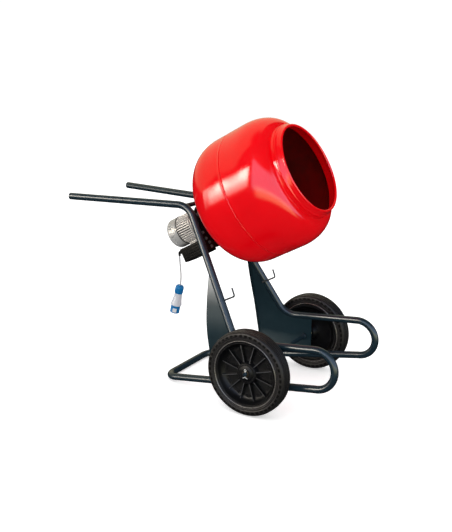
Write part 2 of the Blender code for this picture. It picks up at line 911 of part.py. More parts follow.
def leg_y(x_local):
    """Half distance between the leg centre lines at a height across the axis."""
    best = None
    for a, b in zip(PATH[:18], PATH[1:19]):
        ua, ub = [(p - Vector(MOUTH)).dot(UP) for p in (a, b)]
        if (ua - x_local) * (ub - x_local) <= 0 and abs(ua - ub) > 1e-6:
            best = a.lerp(b, (x_local - ua) / (ub - ua)).y
    return best


def slot_outline(radius, steps=8):
    """Two half circles, about the drum axis and about the layshaft."""
    pts = []
    for k in range(steps + 1):
        t = -math.pi / 2 + math.pi * k / steps
        pts.append((radius * math.cos(t), radius * math.sin(t)))
    for k in range(steps + 1):
        t = math.pi / 2 + math.pi * k / steps
        pts.append((-CENTRES + radius * math.cos(t), radius * math.sin(t)))
    return pts


PLATE_TOP, PLATE_LOW = 0.050, -0.150
PLATE_BACK = PLATE_S + 0.006
w0, w1 = leg_y(PLATE_TOP), leg_y(PLATE_LOW)
plate = prism(
    [(PLATE_LOW, -w1), (PLATE_TOP, -w0), (PLATE_TOP + 0.026, -0.060),
     (PLATE_TOP + 0.026, 0.060), (PLATE_TOP, w0), (PLATE_LOW, w1)],
    PLATE_S,
    PLATE_BACK,
)
to_drum = drum_frame.inverted()
for side in (1, -1):
    cut(plate, moved(frame_tube(side, TUBE_R + GAP), to_drum))
HOUSING_BOLTS = [
    (0.066, 0.0),
    (0.0, 0.066),
    (0.0, -0.066),
    (-CENTRES, 0.066),
    (-CENTRES, -0.066),
    (-CENTRES - 0.066, 0.0),
]
BEARING_BOLTS = [
    (0.050 * math.cos(math.pi * (k + 0.5) / 3), 0.050 * math.sin(math.pi * (k + 0.5) / 3))
    for k in range(6)
]
cut(plate, rod(0.0200, 0.59, 0.61, 20), rod(0.0063, 0.59, 0.61, 16, -CENTRES))
weld(
    plate,
    *[rod(0.0030, PLATE_S + 0.002, PLATE_BACK + 0.0180, 8, x, y) for x, y in HOUSING_BOLTS],
    *[rod(0.0030, 0.5830, PLATE_BACK - 0.002, 8, x, y) for x, y in BEARING_BOLTS],
)
part("drive_plate", plate, drum_axis, "gearbox_black")

housing_flange = prism(slot_outline(0.074), PLATE_BACK + GAP, PLATE_BACK + 0.008)
for x, y in HOUSING_BOLTS:
    cut(housing_flange, rod(0.0034, 0.60, 0.62, 8, x, y))
housing = weld(housing_flange, prism(slot_outline(0.0615), PLATE_BACK + 0.004, 0.672))
cut(
    housing,
    prism(slot_outline(0.0570), PLATE_BACK - 0.001, 0.666),
    rod(0.0098, 0.66, 0.68, 16),
    rod(0.0063, 0.66, 0.68, 16, -CENTRES),
)
part("gearbox_housing", housing, drum_axis, "gearbox_black")
bearing_carrier = turned(
    [
        (0.0262, 0.5490),
        (0.0350, 0.5490),
        (0.0370, 0.5510),
        (0.0400, 0.5870),
        (0.0600, 0.5890),
        (0.0600, PLATE_S - GAP),
        (0.0262, PLATE_S - GAP),
    ],
    20,
    phase=0.06,
)
cut(bearing_carrier, *[rod(0.0034, 0.58, 0.61, 8, x, y) for x, y in BEARING_BOLTS])
part("bearing_carrier", bearing_carrier, drum_axis, "gearbox_black")
part("shaft_seal", ring(SHAFT_R + GAP, 0.0255, 0.5495, 0.5535, 24), drum_axis, "rubber")
part("output_bearing_front", ring(SHAFT_R + GAP, 0.0255, 0.5540, 0.5690, 24), drum_axis, "steel")
part("output_bearing_rear", ring(SHAFT_R + GAP, 0.0255, 0.5840, 0.5990, 24), drum_axis, "steel")

# ---------------------------------------------------------------------- motor
part("motor_flange", ring(0.0174, 0.0660, 0.6723, 0.6900, 24), drum_axis, "cast_aluminium")
part("motor_bearing_front", ring(0.0078, 0.0171, 0.6730, 0.6840, 20), drum_axis, "steel")
part("motor_bearing_rear", ring(0.0078, 0.0171, 0.7670, 0.7780, 20), drum_axis, "steel")


def finned(fins, inner, outer, z0, z1):
    outline = []
    step = 2 * math.pi / fins
    for k in range(fins):
        mid = k * step
        half = 0.0011
        for r, sign in ((inner, -1), (outer, -1), (outer, 1), (inner, 1)):
            angle = mid + sign * half / r
            outline.append((r * math.cos(angle), r * math.sin(angle)))
    return prism(outline, z0, z1)


motor = finned(28, 0.0665, MOTOR_R - 0.0010, 0.6903, 0.7785)
weld(motor, box(BOX_TOP + GAP, -0.0640, -0.030, 0.030, 0.7100, 0.7650))
cut(motor, rod(0.0630, 0.68, 0.85, 24, phase=0.03))
part("motor_housing", motor, drum_axis, "cast_aluminium")
stator = turned(
    [
        (0.0364, 0.7040),
        (0.0385, 0.7040),
        (0.0385, 0.6960),
        (0.0580, 0.6960),
        (0.0580, 0.7040),
        (0.0620, 0.7040),
        (0.0620, 0.7560),
        (0.0580, 0.7560),
        (0.0580, 0.7650),
        (0.0385, 0.7650),
        (0.0385, 0.7560),
        (0.0364, 0.7560),
    ],
    24,
)
part("stator", stator, drum_axis, "copper")
part("motor_end_shield", ring(0.0174, 0.0620, 0.7665, 0.7782, 24), drum_axis, "cast_aluminium")
cover = turned(
    [
        (0, 0.8450),
        (0.0560, 0.8450),
        (0.0700, 0.8395),
        (0.0755, 0.8270),
        (0.0760, 0.7788),
        (0.0746, 0.7788),
        (0.0741, 0.8265),
        (0.0690, 0.8382),
        (0.0555, 0.8435),
        (0, 0.8435),
    ],
    24,
    loop=False,
    phase=0.04,
)
slots = []
for k in range(6):
    slot = box(0.024, 0.052, -0.0042, 0.0042, 0.84, 0.85)
    slots.append(moved(slot, Matrix.Rotation(math.pi * (k + 0.5) / 3, 4, "Z")))
cut(cover, *slots)
part("fan_cover", cover, drum_axis, "fan_cover")

# ----------------------------------------------------------------- switch box
S0, S1 = 0.6840, 0.8180
GLAND = (-0.095, -0.025)
Y0, Y1 = -0.0550, 0.0400
body = box(BOX_BOTTOM, BOX_TOP, Y0, Y1, S0, S1)
cut(body, box(BOX_BOTTOM + 0.003, BOX_TOP - 0.003, Y0 + 0.003, Y1 + 0.01, S0 + 0.003, S1 - 0.003))
cut(body, rod(0.0062, S1 - 0.01, S1 + 0.01, 12, *GLAND))
part("switch_box", body, drum_axis, "black_plastic")
lid = box(BOX_BOTTOM, BOX_TOP, Y1 + GAP, Y1 + 0.0125, S0, S1)
BUTTONS = (("start_button", 0.731, "button_green"), ("stop_button", 0.771, "button_red"))
MID = (BOX_TOP + BOX_BOTTOM) / 2
for _, s, _ in BUTTONS:
    cut(lid, moved(upright(rod(0.0113, 0.03, 0.07, 20)), Matrix.Translation((MID, 0, s))))
LID_SCREWS = [(x, s) for x in (BOX_BOTTOM + 0.008, BOX_TOP - 0.008) for s in (S0 + 0.008, S1 - 0.008)]
for x, s in LID_SCREWS:
    screw = moved(upright(rod(0.0040, Y1 + 0.006, Y1 + 0.0150, 8, phase=0.2)), Matrix.Translation((x, 0, s)))
    weld(lid, screw)
part("switch_box_cover", lid, drum_axis, "black_plastic")
block = box(MID - 0.015, MID + 0.015, 0.006, 0.034, 0.713, 0.789)
part("switch_block", block, drum_axis, "plug_grey")
for name, s, colour in BUTTONS:
    holder = empty(f"{name}_axis", drum_axis, location=(MID, 0, s))
    stem = upright(
        turned(
            [
                (0, 0.0385),
                (0.0060, 0.0385),
                (0.0060, 0.0440),
                (0.0108, 0.0450),
                (0.0108, 0.0575),
                (0.0095, 0.0590),
                (0, 0.0590),
            ],
            20,
            loop=False,
        )
    )
    part(name, stem, holder, colour)

# --------------------------------------------------------- gland, cord, plug
down = Vector((-math.cos(TILT), 0, math.sin(TILT)))     # straight down, in the drum frame
elbow = [Vector((GLAND[0], GLAND[1], S1 + GAP)), Vector((GLAND[0], GLAND[1], 0.8495))]
elbow.append(elbow[1] + down * 0.0165)
gland = pipe(filleted(elbow, [0.010], math.radians(20)), 0.0100)
weld(
    gland,
    rod(0.0150, S1 + GAP, S1 + 0.0085, 6, *GLAND),
    rod(0.0128, S1 + 0.006, S1 + 0.0190, 14, *GLAND),
)
part("cable_gland", gland, drum_axis, "black_plastic")

exit_point = drum_frame @ elbow[-1]
plug_dir = Vector((-math.sin(PLUG_TILT), 0, -math.cos(PLUG_TILT)))
start = Vector((exit_point.x, exit_point.y, exit_point.z - GAP))
end = Vector(PLUG_TOP) - plug_dir * GAP
reach = (end - start).length


def cord_point(t):
    """Smooth hang from the gland to the plug: down at first, then in line with
    the plug."""
    h00 = 2 * t**3 - 3 * t**2 + 1
    h10 = t**3 - 2 * t**2 + t
    h01 = -2 * t**3 + 3 * t**2
    h11 = t**3 - t**2
    return (
        start * h00
        + Vector((0, 0, -1)) * reach * h10
        + end * h01
        + plug_dir * reach * h11
    )


cord = curve_along([cord_point(k / 12) for k in range(13)], CORD_R, resolution=2)
cord.name = "power_cord"
cord.data.name = "power_cord"
cord.data.materials.append(material("power_cord", "cord_grey"))
cord.parent = root

plug_axis = empty(
    "plug_axis",
    root,
    matrix=Matrix.Translation(PLUG_TOP)
    @ plug_dir.to_track_quat("Z", "Y").to_matrix().to_4x4(),
)
NUT_END, SHELL_END, PLUG_LEN = 0.0450, 0.1125, 0.1550
nut = turned(
    [
        (0, 0),
        (0.0150, 0),
        (0.0200, 0.004),
        (0.0220, 0.014),
        (0.0220, NUT_END),
        (0, NUT_END),
    ],
    20,
    loop=False,
)
part("plug_nut", nut, plug_axis, "plug_blue")
shell = turned(
    [
        (0, NUT_END + GAP),
        (0.0200, NUT_END + GAP),
        (0.0205, 0.0560),
        (0.0235, 0.0820),
        (0.0280, 0.1040),
        (0.0285, SHELL_END - 0.0010),
        (0.0275, SHELL_END),
        (0, SHELL_END),
    ],
    20,
    loop=False,
)
part("plug_body", shell, plug_axis, "plug_grey")
sleeve = turned(
    [
        (0.0215, SHELL_END + GAP),
        (0.0240, SHELL_END + GAP),
        (0.0248, SHELL_END + 0.0060),
        (0.0248, PLUG_LEN),
        (0.0215, PLUG_LEN),
    ],
    20,
)
part("plug_sleeve", sleeve, plug_axis, "plug_blue")
contacts = rod(0.0210, SHELL_END + GAP, SHELL_END + 0.0050, 20)
weld(
    contacts,
    *[
        rod(
            0.0028,
            SHELL_END + 0.0030,
            PLUG_LEN - 0.0040,
            8,
            0.0125 * math.cos(a),
            0.0125 * math.sin(a),
        )
        for a in (math.radians(90 + 120 * k) for k in range(3))
    ],
)
part("plug_contacts", contacts, plug_axis, "plug_grey")
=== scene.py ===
import bpy, bmesh, math
from mathutils import Matrix, Vector


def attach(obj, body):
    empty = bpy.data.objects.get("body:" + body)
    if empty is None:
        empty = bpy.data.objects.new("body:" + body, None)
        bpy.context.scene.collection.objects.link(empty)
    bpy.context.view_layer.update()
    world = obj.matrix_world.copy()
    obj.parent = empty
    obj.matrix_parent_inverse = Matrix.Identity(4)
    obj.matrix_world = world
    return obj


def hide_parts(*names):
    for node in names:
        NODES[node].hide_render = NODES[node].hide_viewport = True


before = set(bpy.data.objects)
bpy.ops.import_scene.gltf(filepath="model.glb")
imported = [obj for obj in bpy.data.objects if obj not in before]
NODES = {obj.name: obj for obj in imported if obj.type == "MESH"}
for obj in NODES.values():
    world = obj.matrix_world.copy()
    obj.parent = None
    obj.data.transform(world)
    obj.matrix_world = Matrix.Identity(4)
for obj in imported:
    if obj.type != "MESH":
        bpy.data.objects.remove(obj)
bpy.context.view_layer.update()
SX = 0.3629
scene = bpy.context.scene

# ------------------------------------------------------------------ camera
AZ, EL, ROLL = math.radians(31.30), math.radians(14.19), math.radians(0.056)
fwd = Vector((-math.sin(AZ) * math.cos(EL), math.cos(AZ) * math.cos(EL), -math.sin(EL)))
cam_data = bpy.data.cameras.new("camera")
cam = bpy.data.objects.new("camera", cam_data)
scene.collection.objects.link(cam)
cam.location = (1.56577 + SX, -3.10674, 1.49965)
cam.rotation_mode = "QUATERNION"
cam.rotation_quaternion = fwd.to_track_quat("-Z", "Y") @ Matrix.Rotation(ROLL, 3, "Z").to_quaternion()
cam_data.lens, cam_data.sensor_width, cam_data.sensor_fit = 50.949, 36.0, "AUTO"
cam_data.clip_start, cam_data.clip_end = 0.05, 60
scene.camera = cam

# ------------------------------------------------------------- dimensions
TUBE_R = 0.0175
HANDLE_END = (-1.117 + SX, 0.236, 0.898)
HANDLE_BEND = (-0.458 + SX, 0.124, 0.891)
LEG_BEND = (-0.117 + SX, 0.253, 0.296)
LOOP_TOP = (0.285 + SX, 0.2445, 0.3320)
LOOP_BOTTOM = (0.295 + SX, 0.250, 0.1515)
FOOT = (-0.556 + SX, 0.205, 0.0175)
JOINT_X = -0.270 + SX
PANEL_FLAT = 0.2435
WHEEL_R, WHEEL_Y = 0.200, 0.3368
TILT = math.radians(27.6)
MOUTH = Vector((0.1229 + SX, 0.0, 1.0986))
AXIS = Vector((math.cos(TILT), 0, math.sin(TILT)))
UP = Vector((-math.sin(TILT), 0, math.cos(TILT)))
DRUM = Matrix(((UP.x, 0, -AXIS.x, MOUTH.x), (0, 1, 0, 0), (UP.z, 0, -AXIS.z, MOUTH.z), (0, 0, 0, 1)))
DRUM_LEN, RIM_R, NECK_R, NECK_S = 0.5234, 0.2171, 0.2301, 0.0514
BELLY_R, SHOULDER_S, BASE_START_S, BASE_R, SEAM_S = 0.3138, 0.190, 0.360, 0.1547, 0.2785
SHEET = 0.002
BOX_TOP, BOX_BOTTOM, S0, S1, Y0, Y1 = -0.083, -0.155, 0.6840, 0.8180, -0.0550, 0.0400
GLAND = (-0.095, -0.025)
PLUG_TOP = Vector((-0.5850 + SX, -0.025, 0.4497))
PLUG_TILT = math.radians(14.3)
GAP = 0.0003


# ------------------------------------------------------------- mesh helpers
def to_object(name, bm, mats, smooth=True, sharp=None):
    bmesh.ops.recalc_face_normals(bm, faces=bm.faces)
    data = bpy.data.meshes.new(name)
    bm.to_mesh(data)
    bm.free()
    for m in mats if isinstance(mats, (list, tuple)) else [mats]:
        data.materials.append(m)
    if smooth:
        data.polygons.foreach_set("use_smooth", [True] * len(data.polygons))
        data.set_sharp_from_angle(angle=math.radians(sharp or 34))
    obj = bpy.data.objects.new(name, data)
    scene.collection.objects.link(obj)
    return obj


def lathe(bm, profile, steps, matrix=Matrix.Identity(4), closed=True, mat=0, mats=None, phase=0.0):
    """Spins (r, z) points about z; points with r = 0 become poles."""
    rings = []
    for r, z in profile:
        if r < 1e-7:
            rings.append([bm.verts.new(matrix @ Vector((0, 0, z)))])
        else:
            rings.append(
                [
                    bm.verts.new(matrix @ Vector((r * math.cos(phase + 2 * math.pi * k / steps), r * math.sin(phase + 2 * math.pi * k / steps), z)))
                    for k in range(steps)
                ]
            )
    pairs = list(zip(range(len(rings)), range(1, len(rings))))
    if closed:
        pairs.append((len(rings) - 1, 0))
    made = []
    for n, (i, j) in enumerate(pairs):
        a, b = rings[i], rings[j]
        for k in range(steps):
            m = (k + 1) % steps
            if len(a) == 1 and len(b) == 1:
                continue
            if len(a) == 1:
                f = bm.faces.new((a[0], b[m], b[k]))
            elif len(b) == 1:
                f = bm.faces.new((a[k], a[m], b[0]))
            else:
                f = bm.faces.new((a[k], a[m], b[m], b[k]))
            f.material_index = mats[n] if mats else mat
            made.append(f)
    return made


def arc(cx, cz, r, a0, a1, n):
    """Points of an arc in (r, z), angles in degrees."""
    return [
        (cx + r * math.cos(math.radians(a0 + (a1 - a0) * k / n)), cz + r * math.sin(math.radians(a0 + (a1 - a0) * k / n)))
        for k in range(n + 1)
    ]


def fillet(corners, radii, step=5.0):
    pts = [Vector(c) for c in corners]
    path = [pts[0]]
    for i in range(1, len(pts) - 1):
        at = pts[i]
        u, v = (pts[i - 1] - at).normalized(), (pts[i + 1] - at).normalized()
        turn = math.pi - u.angle(v)
        reach = radii[i - 1] * math.tan(turn / 2)
        centre = at + (u + v).normalized() * (radii[i - 1] / math.cos(turn / 2))
        a, b = at + u * reach - centre, at + v * reach - centre
        n = max(3, math.ceil(math.degrees(turn) / step))
        for k in range(n + 1):
            t = k / n
            path.append(centre + (a * math.sin((1 - t) * turn) + b * math.sin(t * turn)) / math.sin(turn))
    path.append(pts[-1])
    return path


def sweep(bm, path, radius, sides=28, matrix=Matrix.Identity(4), mat=0, caps=True, close=False):
    """A round bar along a path; radius is a number or a function of length."""
    pts = [matrix @ Vector(p) for p in path]
    n = len(pts)
    tangents = []
    for i in range(n):
        a = pts[(i - 1) % n] if close or i else pts[i]
        b = pts[(i + 1) % n] if close or i < n - 1 else pts[i]
        tangents.append((b - a).normalized())
    t = tangents[0]
    ref = Vector((0, 0, 1)) if abs(t.z) < 0.9 else Vector((0, 1, 0))
    side = t.cross(ref).normalized()
    rings, run = [], 0.0
    for i, p in enumerate(pts):
        if i:
            run += (p - pts[i - 1]).length
            side = (side - tangents[i] * side.dot(tangents[i])).normalized()
        other = tangents[i].cross(side)
        r = radius(run) if callable(radius) else radius
        rings.append([bm.verts.new(p + side * r * math.cos(2 * math.pi * k / sides) + other * r * math.sin(2 * math.pi * k / sides)) for k in range(sides)])
    last = n if close else n - 1
    for i in range(last):
        a, b = rings[i], rings[(i + 1) % n]
        for k in range(sides):
            m = (k + 1) % sides
            bm.faces.new((a[k], a[m], b[m], b[k])).material_index = mat
    if caps and not close:
        bm.faces.new(rings[0][::-1]).material_index = mat
        bm.faces.new(rings[-1]).material_index = mat
    return rings


def slab(bm, lo, hi, matrix=Matrix.Identity(4), bevel=0.0, segments=2, mat=0):
    lo, hi = Vector(lo), Vector(hi)
    made = bmesh.ops.create_cube(bm, size=1.0)
    verts = made["verts"]
    for v in verts:
        v.co = Vector((lo[i] + (v.co[i] + 0.5) * (hi[i] - lo[i]) for i in range(3)))
    faces = {f for v in verts for f in v.link_faces}
    if bevel:
        edges = {e for v in verts for e in v.link_edges}
        out = bmesh.ops.bevel(bm, geom=list(edges), offset=bevel, segments=segments, affect="EDGES", profile=0.6)
        faces = {f for f in faces if f.is_valid} | set(out["faces"])
    verts = {v for f in faces for v in f.verts}
    faces |= {f for v in verts for f in v.link_faces}
    for v in verts:
        v.co = matrix @ v.co
    for f in faces:
        f.material_index = mat
    return faces


def bolt(bm, at, direction, af=0.010, head=0.0055, washer=0.0075, mat=0, matrix=Matrix.Identity(4)):
    """Hexagon head on a washer, standing on a face."""
    d = Vector(direction).normalized()
    m = matrix @ Matrix.Translation(at) @ d.to_track_quat("Z", "Y").to_matrix().to_4x4()
    lathe(bm, [(0, 0), (washer, 0), (washer, 0.0010), (washer - 0.0006, 0.0014), (0, 0.0014)], 18, m, closed=False, mat=mat)
    r = af / 2 / math.cos(math.pi / 6)
    lathe(bm, [(0, 0.0014), (r, 0.0014), (r, 0.0014 + head * 0.86), (r * 0.86, 0.0014 + head), (0, 0.0014 + head)], 6, m, closed=False, mat=mat)


def mirrored(path, side):
    return [Vector((p[0], p[1] * side, p[2])) for p in path]


def screw_ring(bm, at, direction, r, tube, mat=0, sides=8, steps=28):
    """A small torus, as a weld bead round a joint."""
    d = Vector(direction).normalized()
    m = Matrix.Translation(at) @ d.to_track_quat("Z", "Y").to_matrix().to_4x4()
    lathe(bm, [(r + tube * math.cos(2 * math.pi * k / sides), tube * math.sin(2 * math.pi * k / sides)) for k in range(sides)], steps, m, mat=mat)


# ---------------------------------------------------------------- materials
def material(name, base, other, rough=0.4, rough_var=0.06, metallic=0.0, scale=14.0, detail=5.0,
             bump=0.05, bump_scale=400.0, coat=0.0, coat_rough=0.05, specular=0.5, grime=None, grime_scale=6.0,
             grime_amount=0.5, stretch=None, bump_distance=0.0006):
    """Principled surface: two near colours mottled by noise, an uneven
    roughness, a fine bump, and optionally a patchy second coat of grime."""
    mat = bpy.data.materials.new(name)
    mat.use_nodes = True
    nt = mat.node_tree
    nodes, links = nt.nodes, nt.links
    shader = nodes["Principled BSDF"]
    coord = nodes.new("ShaderNodeTexCoord")
    vec = coord.outputs["Object"]
    if stretch:
        mapping = nodes.new("ShaderNodeMapping")
        mapping.inputs["Scale"].default_value = stretch
        links.new(vec, mapping.inputs["Vector"])
        vec = mapping.outputs["Vector"]
    noise = nodes.new("ShaderNodeTexNoise")
    noise.inputs["Scale"].default_value = scale
    noise.inputs["Detail"].default_value = detail
    noise.inputs["Roughness"].default_value = 0.6
    links.new(vec, noise.inputs["Vector"])
    ramp = nodes.new("ShaderNodeValToRGB")
    ramp.color_ramp.elements[0].position, ramp.color_ramp.elements[1].position = 0.33, 0.67
    ramp.color_ramp.elements[0].color = (*base, 1)
    ramp.color_ramp.elements[1].color = (*other, 1)
    links.new(noise.outputs["Fac"], ramp.inputs["Fac"])
    colour = ramp.outputs["Color"]
    rmap = nodes.new("ShaderNodeMapRange")
    rmap.inputs["To Min"].default_value = max(0.02, rough - rough_var)
    rmap.inputs["To Max"].default_value = rough + rough_var
    fine = nodes.new("ShaderNodeTexNoise")
    fine.inputs["Scale"].default_value = scale * 4.3
    fine.inputs["Detail"].default_value = 3.0
    links.new(vec, fine.inputs["Vector"])
    links.new(fine.outputs["Fac"], rmap.inputs["Value"])
    roughness = rmap.outputs["Result"]
    if grime:
        gn = nodes.new("ShaderNodeTexNoise")
        gn.inputs["Scale"].default_value = grime_scale
        gn.inputs["Detail"].default_value = 8.0
        gn.inputs["Roughness"].default_value = 0.7
        links.new(vec, gn.inputs["Vector"])
        gr = nodes.new("ShaderNodeValToRGB")
        gr.color_ramp.elements[0].position, gr.color_ramp.elements[1].position = 0.52, 0.74
        gr.color_ramp.elements[0].color = (0, 0, 0, 1)
        gr.color_ramp.elements[1].color = (grime_amount, grime_amount, grime_amount, 1)
        links.new(gn.outputs["Fac"], gr.inputs["Fac"])
        mix = nodes.new("ShaderNodeMix")
        mix.data_type = "RGBA"
        mix.inputs[7].default_value = (*grime, 1)
        links.new(gr.outputs["Color"], mix.inputs[0])
        links.new(colour, mix.inputs[6])
        colour = mix.outputs[2]
    links.new(colour, shader.inputs["Base Color"])
    links.new(roughness, shader.inputs["Roughness"])
    shader.inputs["Metallic"].default_value = metallic
    shader.inputs["Specular IOR Level"].default_value = specular
    if coat:
        shader.inputs["Coat Weight"].default_value = coat
        shader.inputs["Coat Roughness"].default_value = coat_rough
    if bump:
        bn = nodes.new("ShaderNodeTexNoise")
        bn.inputs["Scale"].default_value = bump_scale
        bn.inputs["Detail"].default_value = 2.0
        links.new(vec, bn.inputs["Vector"])
        b = nodes.new("ShaderNodeBump")
        b.inputs["Strength"].default_value = bump
        b.inputs["Distance"].default_value = bump_distance
        links.new(bn.outputs["Fac"], b.inputs["Height"])
        links.new(b.outputs["Normal"], shader.inputs["Normal"])
    return mat


M = {
    "frame": material("frame_enamel", (0.0085, 0.0215, 0.0320), (0.0115, 0.0265, 0.0385), 0.25, 0.04, scale=18, bump=0.04, bump_scale=160, specular=0.42, grime=(0.026, 0.034, 0.040), grime_amount=0.30),
    "rod": material("hook_enamel", (0.009, 0.014, 0.018), (0.013, 0.019, 0.024), 0.34, 0.05, scale=40, bump=0.05, bump_scale=300, specular=0.20),
    "panel": material("panel_enamel", (0.0075, 0.0210, 0.0290), (0.0100, 0.0260, 0.0350), 0.36, 0.05, scale=12, bump=0.05, bump_scale=120, specular=0.13, grime=(0.024, 0.033, 0.038), grime_amount=0.30),
    # rib: lighter grey than the rim's own black, a painted highlight on the ribs' edges and lugs
    "rib": material("rim_rib_painted_highlight", (0.046, 0.047, 0.050), (0.064, 0.065, 0.069), 0.34, 0.06, scale=24, bump=0.15, bump_scale=700, specular=0.5),
    "bolt": material("grey_bolt", (0.115, 0.118, 0.122), (0.085, 0.087, 0.090), 0.40, 0.06, 0.2, scale=80, bump=0.15, bump_scale=700, specular=0.3),
    "red": material("drum_enamel", (0.93, 0.0003, 0.0050), (0.87, 0.0002, 0.0042), 0.15, 0.03, scale=9, bump=0.07, bump_scale=120, bump_distance=0.0010, coat=0.15, coat_rough=0.05, specular=0.45),
    # red_inside: a much darker copy of the drum's red, painted shade inside the drum, with patchy grime
    "red_inside": material("drum_inside_enamel_painted_shade", (0.260, 0.0034, 0.0026), (0.190, 0.0028, 0.0022), 0.46, 0.08, scale=7, bump=0.12, bump_scale=90, grime=(0.060, 0.012, 0.009), grime_amount=0.6, specular=0.25),
    "tyre": material("tyre_rubber", (0.0080, 0.0074, 0.0080), (0.0122, 0.0113, 0.0120), 0.46, 0.10, scale=30, bump=0.25, bump_scale=900, specular=0.22, grime=(0.014, 0.0128, 0.0130), grime_amount=0.5),
    # bead: light grey ring on the black tyre, a painted highlight standing in for the reflection along the bead
    "bead": material("tyre_bead_painted_highlight", (0.110, 0.102, 0.096), (0.135, 0.125, 0.118), 0.28, 0.05, scale=30, bump=0.1, bump_scale=900, specular=0.75),
    # recess: rubber darker than the tyre's own, painted shade in the sidewall slots
    "recess": material("tyre_recess_painted_shade", (0.0016, 0.0015, 0.0015), (0.0026, 0.0024, 0.0024), 0.75, 0.05, scale=30, bump=0.2, bump_scale=900, specular=0.05),
    "rim": material("rim_plastic", (0.0034, 0.0035, 0.0042), (0.0056, 0.0058, 0.0068), 0.40, 0.05, scale=24, bump=0.15, bump_scale=700, specular=0.16),
    "black": material("black_plastic", (0.0034, 0.0032, 0.0033), (0.0056, 0.0053, 0.0054), 0.36, 0.07, scale=40, bump=0.25, bump_scale=1200, specular=0.10),
    "gear": material("gearbox_paint", (0.0024, 0.0030, 0.0034), (0.0040, 0.0050, 0.0056), 0.40, 0.08, scale=22, bump=0.30, bump_scale=300, specular=0.12, grime=(0.010, 0.010, 0.010), grime_amount=0.4),
    "alu": material("cast_aluminium", (0.76, 0.715, 0.665), (0.67, 0.63, 0.585), 0.48, 0.06, 0.12, scale=40, bump=0.10, bump_scale=650, specular=0.30, grime=(0.24, 0.21, 0.185), grime_amount=0.5, grime_scale=14),
    "cowl": material("fan_cover_paint", (0.54, 0.53, 0.51), (0.46, 0.455, 0.44), 0.38, 0.07, 0.20, scale=30, bump=0.16, bump_scale=420, specular=0.4, grime=(0.28, 0.275, 0.265), grime_amount=0.35, grime_scale=10),
    # joint: dark joint at the motor's rear collar, and painted shade in the valleys between the fins
    "joint": material("joint_and_fin_valley_painted_shade", (0.030, 0.029, 0.028), (0.045, 0.043, 0.041), 0.5, 0.1, scale=60, bump=0.2, bump_scale=500),
    "steel": material("turned_steel", (0.50, 0.50, 0.51), (0.42, 0.42, 0.43), 0.28, 0.08, 1.0, scale=60, bump=0.25, bump_scale=240, stretch=(1, 1, 7)),
    "zinc": material("zinc_plate", (0.66, 0.66, 0.63), (0.56, 0.57, 0.56), 0.26, 0.08, 1.0, scale=55, bump=0.15, bump_scale=500),
    "pin": material("split_pin_zinc", (0.80, 0.80, 0.79), (0.70, 0.71, 0.71), 0.34, 0.06, 0.15, scale=55, bump=0.10, bump_scale=500, specular=0.6),
    "bronze": material("oiled_bronze", (0.070, 0.046, 0.024), (0.046, 0.030, 0.017), 0.42, 0.08, 0.6, scale=60, bump=0.3, bump_scale=900),
    "copper": material("varnished_copper", (0.58, 0.23, 0.10), (0.42, 0.15, 0.06), 0.34, 0.08, 0.9, scale=120, bump=0.5, bump_scale=900, stretch=(1, 6, 1)),
    "blue": material("plug_blue_plastic", (0.0004, 0.150, 0.400), (0.0005, 0.170, 0.440), 0.34, 0.05, scale=60, specular=0.35, bump=0.15, bump_scale=900),
    "grey": material("plug_grey_plastic", (0.66, 0.67, 0.72), (0.58, 0.595, 0.65), 0.40, 0.05, scale=60, bump=0.15, bump_scale=900),
    "white": material("pin_carrier_plastic", (0.72, 0.73, 0.76), (0.62, 0.64, 0.68), 0.42, 0.05, scale=70, bump=0.1, bump_scale=900),
    "cord": material("cord_sheath", (0.52, 0.52, 0.53), (0.44, 0.44, 0.45), 0.50, 0.06, scale=90, bump=0.25, bump_scale=1400),
    "green": material("green_button", (0.010, 0.20, 0.030), (0.014, 0.24, 0.04), 0.28, 0.05, scale=50, bump=0.08, bump_scale=700),
    "stop": material("red_button", (0.52, 0.010, 0.008), (0.46, 0.008, 0.007), 0.28, 0.05, scale=50, bump=0.08, bump_scale=700),
    "seal": material("seal_rubber", (0.012, 0.012, 0.012), (0.020, 0.020, 0.020), 0.6, 0.08, scale=60, bump=0.2, bump_scale=700),
}


def lighten_upwards(mat, low, high, colour, lift):
    """Painted sheen on a sheet: the base colour lightens with height between two levels."""
    nt = mat.node_tree
    shader = nt.nodes["Principled BSDF"]
    coord = nt.nodes.new("ShaderNodeTexCoord")
    split = nt.nodes.new("ShaderNodeSeparateXYZ")
    nt.links.new(coord.outputs["Object"], split.inputs[0])
    ramp = nt.nodes.new("ShaderNodeMapRange")
    ramp.interpolation_type = "SMOOTHSTEP"
    ramp.inputs["From Min"].default_value = low
    ramp.inputs["From Max"].default_value = high
    ramp.inputs["To Max"].default_value = lift
    nt.links.new(split.outputs[2], ramp.inputs["Value"])
    mix = nt.nodes.new("ShaderNodeMix")
    mix.data_type = "RGBA"
    mix.inputs[7].default_value = (*colour, 1)
    nt.links.new(ramp.outputs["Result"], mix.inputs[0])
    nt.links.new(shader.inputs["Base Color"].links[0].from_socket, mix.inputs[6])
    nt.links.new(mix.outputs[2], shader.inputs["Base Color"])
    return mat


# the near (right) panel: base colour lightened towards the top, a painted sheen standing in for a reflection
M["panel_right"] = lighten_upwards(
    material("panel_enamel_painted_sheen", (0.0085, 0.0210, 0.0280), (0.0115, 0.0260, 0.0340), 0.36, 0.05, scale=12, bump=0.05, bump_scale=120, specular=0.13, grime=(0.024, 0.033, 0.038), grime_amount=0.30),
    0.43, 0.61, (0.60, 0.61, 0.60), 0.90)


def finish_piece(obj, body, slot, *nodes):
    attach(obj, body)
    if nodes:
        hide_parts(*nodes)
    return obj


